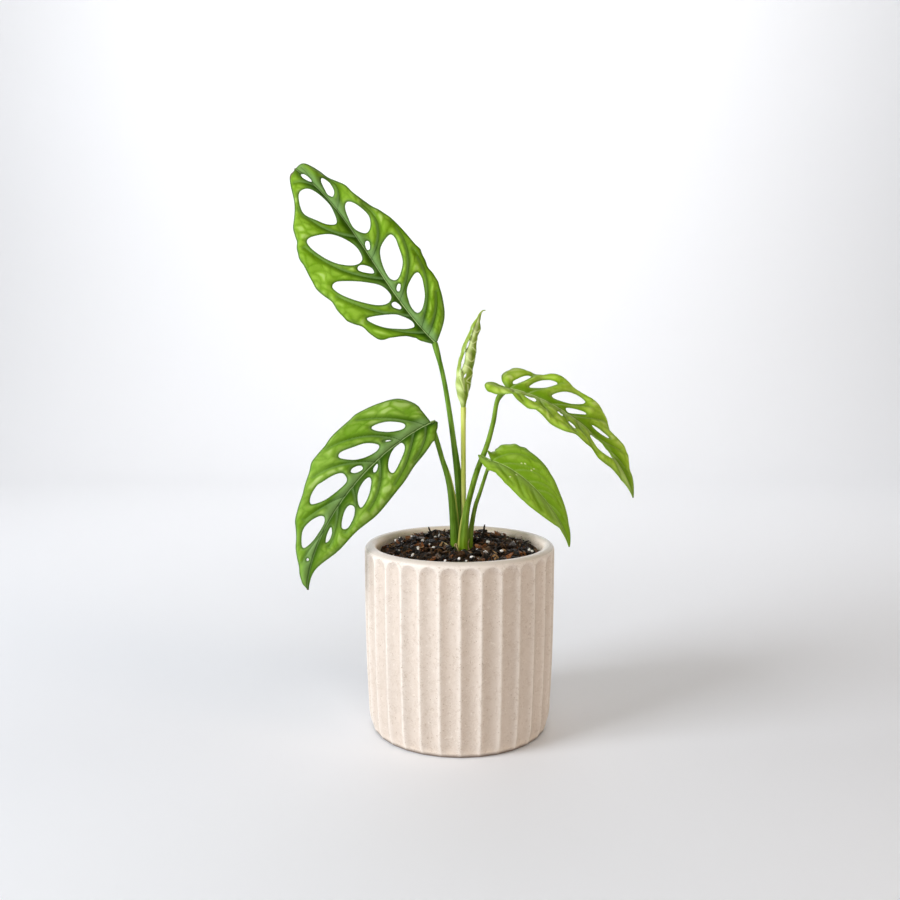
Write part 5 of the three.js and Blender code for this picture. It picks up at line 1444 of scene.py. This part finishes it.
# Fibres: thin tubes along arcs that lie on the mix, arched by up to arch * sin(pi s); the radius falls
# to 0.15 of itself at both ends.
def makeFibres(draw):
    f = fibreSet
    n, along, around = f["count"], f["along"], f["around"]
    x, y = scattered(n, draw, f["reach"])
    heading, bend = draw.uniform(0, 2 * math.pi, n), draw.normal(0, f["bend"], n)
    length, lift = draw.uniform(*f["length"], n), draw.uniform(*f["lift"], n)
    s = np.linspace(0, 1, along)
    turn = heading[:, None] + bend[:, None] * s
    stepX, stepY = np.cos(turn) * length[:, None] / along, np.sin(turn) * length[:, None] / along
    px, py = x[:, None] + np.cumsum(stepX, 1), y[:, None] + np.cumsum(stepY, 1)
    kept = np.minimum(1, f["wall"] / np.maximum(np.hypot(px, py), 1e-6))
    px, py = px * kept, py * kept
    pz = mixHeight(px, py) + lift[:, None] + draw.uniform(0, f["arch"], n)[:, None] * np.sin(math.pi * s)
    radius = draw.uniform(*f["radius"], n)[:, None] * (0.15 + 0.85 * np.sin(math.pi * s) ** 0.5)
    a = 2 * math.pi * np.arange(around) / around
    across = np.stack([-np.sin(turn), np.cos(turn), 0 * turn], -1)
    ring = across[:, :, None] * np.cos(a)[None, None, :, None] + np.array([0, 0, 1.0]) * np.sin(a)[:, None]
    points = np.stack([px, py, pz], -1)[:, :, None] + ring * radius[..., None, None]
    grid = gridFaces(along, around, True)
    ends = np.array([[3, 2, 1, 0], [0, 1, 2, 3]]) + np.array([[0], [(along - 1) * around]])
    grid = np.concatenate([grid, ends])
    faces = (grid[None] + along * around * np.arange(n)[:, None, None]).reshape(-1, 4)
    shade = np.repeat(draw.uniform(0, 1, n), along * around)
    finishPiece(addMesh("fibres", points.reshape(-1, 3), faces, {"shade": shade}), barkFinish())


# Bark: nearly black to warm brown by piece, one in nine orange brown, a few tan, with fine grain.
def barkFinish():
    if "bark" in bpy.data.materials:
        return bpy.data.materials["bark"]
    f = Finish("bark")
    shade = f.field("shade")
    grain = f.noise(900, 3.0)
    color = f.blend((shade * 0.75 + grain * 0.5).ramp(0.45, 1.1), tone(18, 11, 6), tone(110, 78, 46))
    color = f.blend(shade.ramp(0.87, 0.90) * 0.85, color, tone(140, 82, 34))
    color = f.blend(shade.ramp(0.965, 0.98) * 0.85, color, tone(188, 146, 92))
    color = f.blend(grain.ramp(0.6, 0.35, 0.0, 0.6), color, tone(10, 6, 4))
    f.set("Specular IOR Level", 0.35)
    f.set("Base Color", color)
    f.set("Roughness", grain.ramp(0.3, 0.7, 0.3, 0.7))
    f.bump(grain, 0.0006, 1.0)
    return f.material


# Perlite: white, with fine pores.
def perliteFinish():
    f = Finish("perlite", Roughness=0.8)
    f.set("Base Color", (*tone(236, 232, 226), 1))
    f.bump(f.noise(1400, 3.0), 0.0003, 0.8)
    return f.material


makeMixBody()
makeMixPieces()
makeRods()
print("potting mix made")
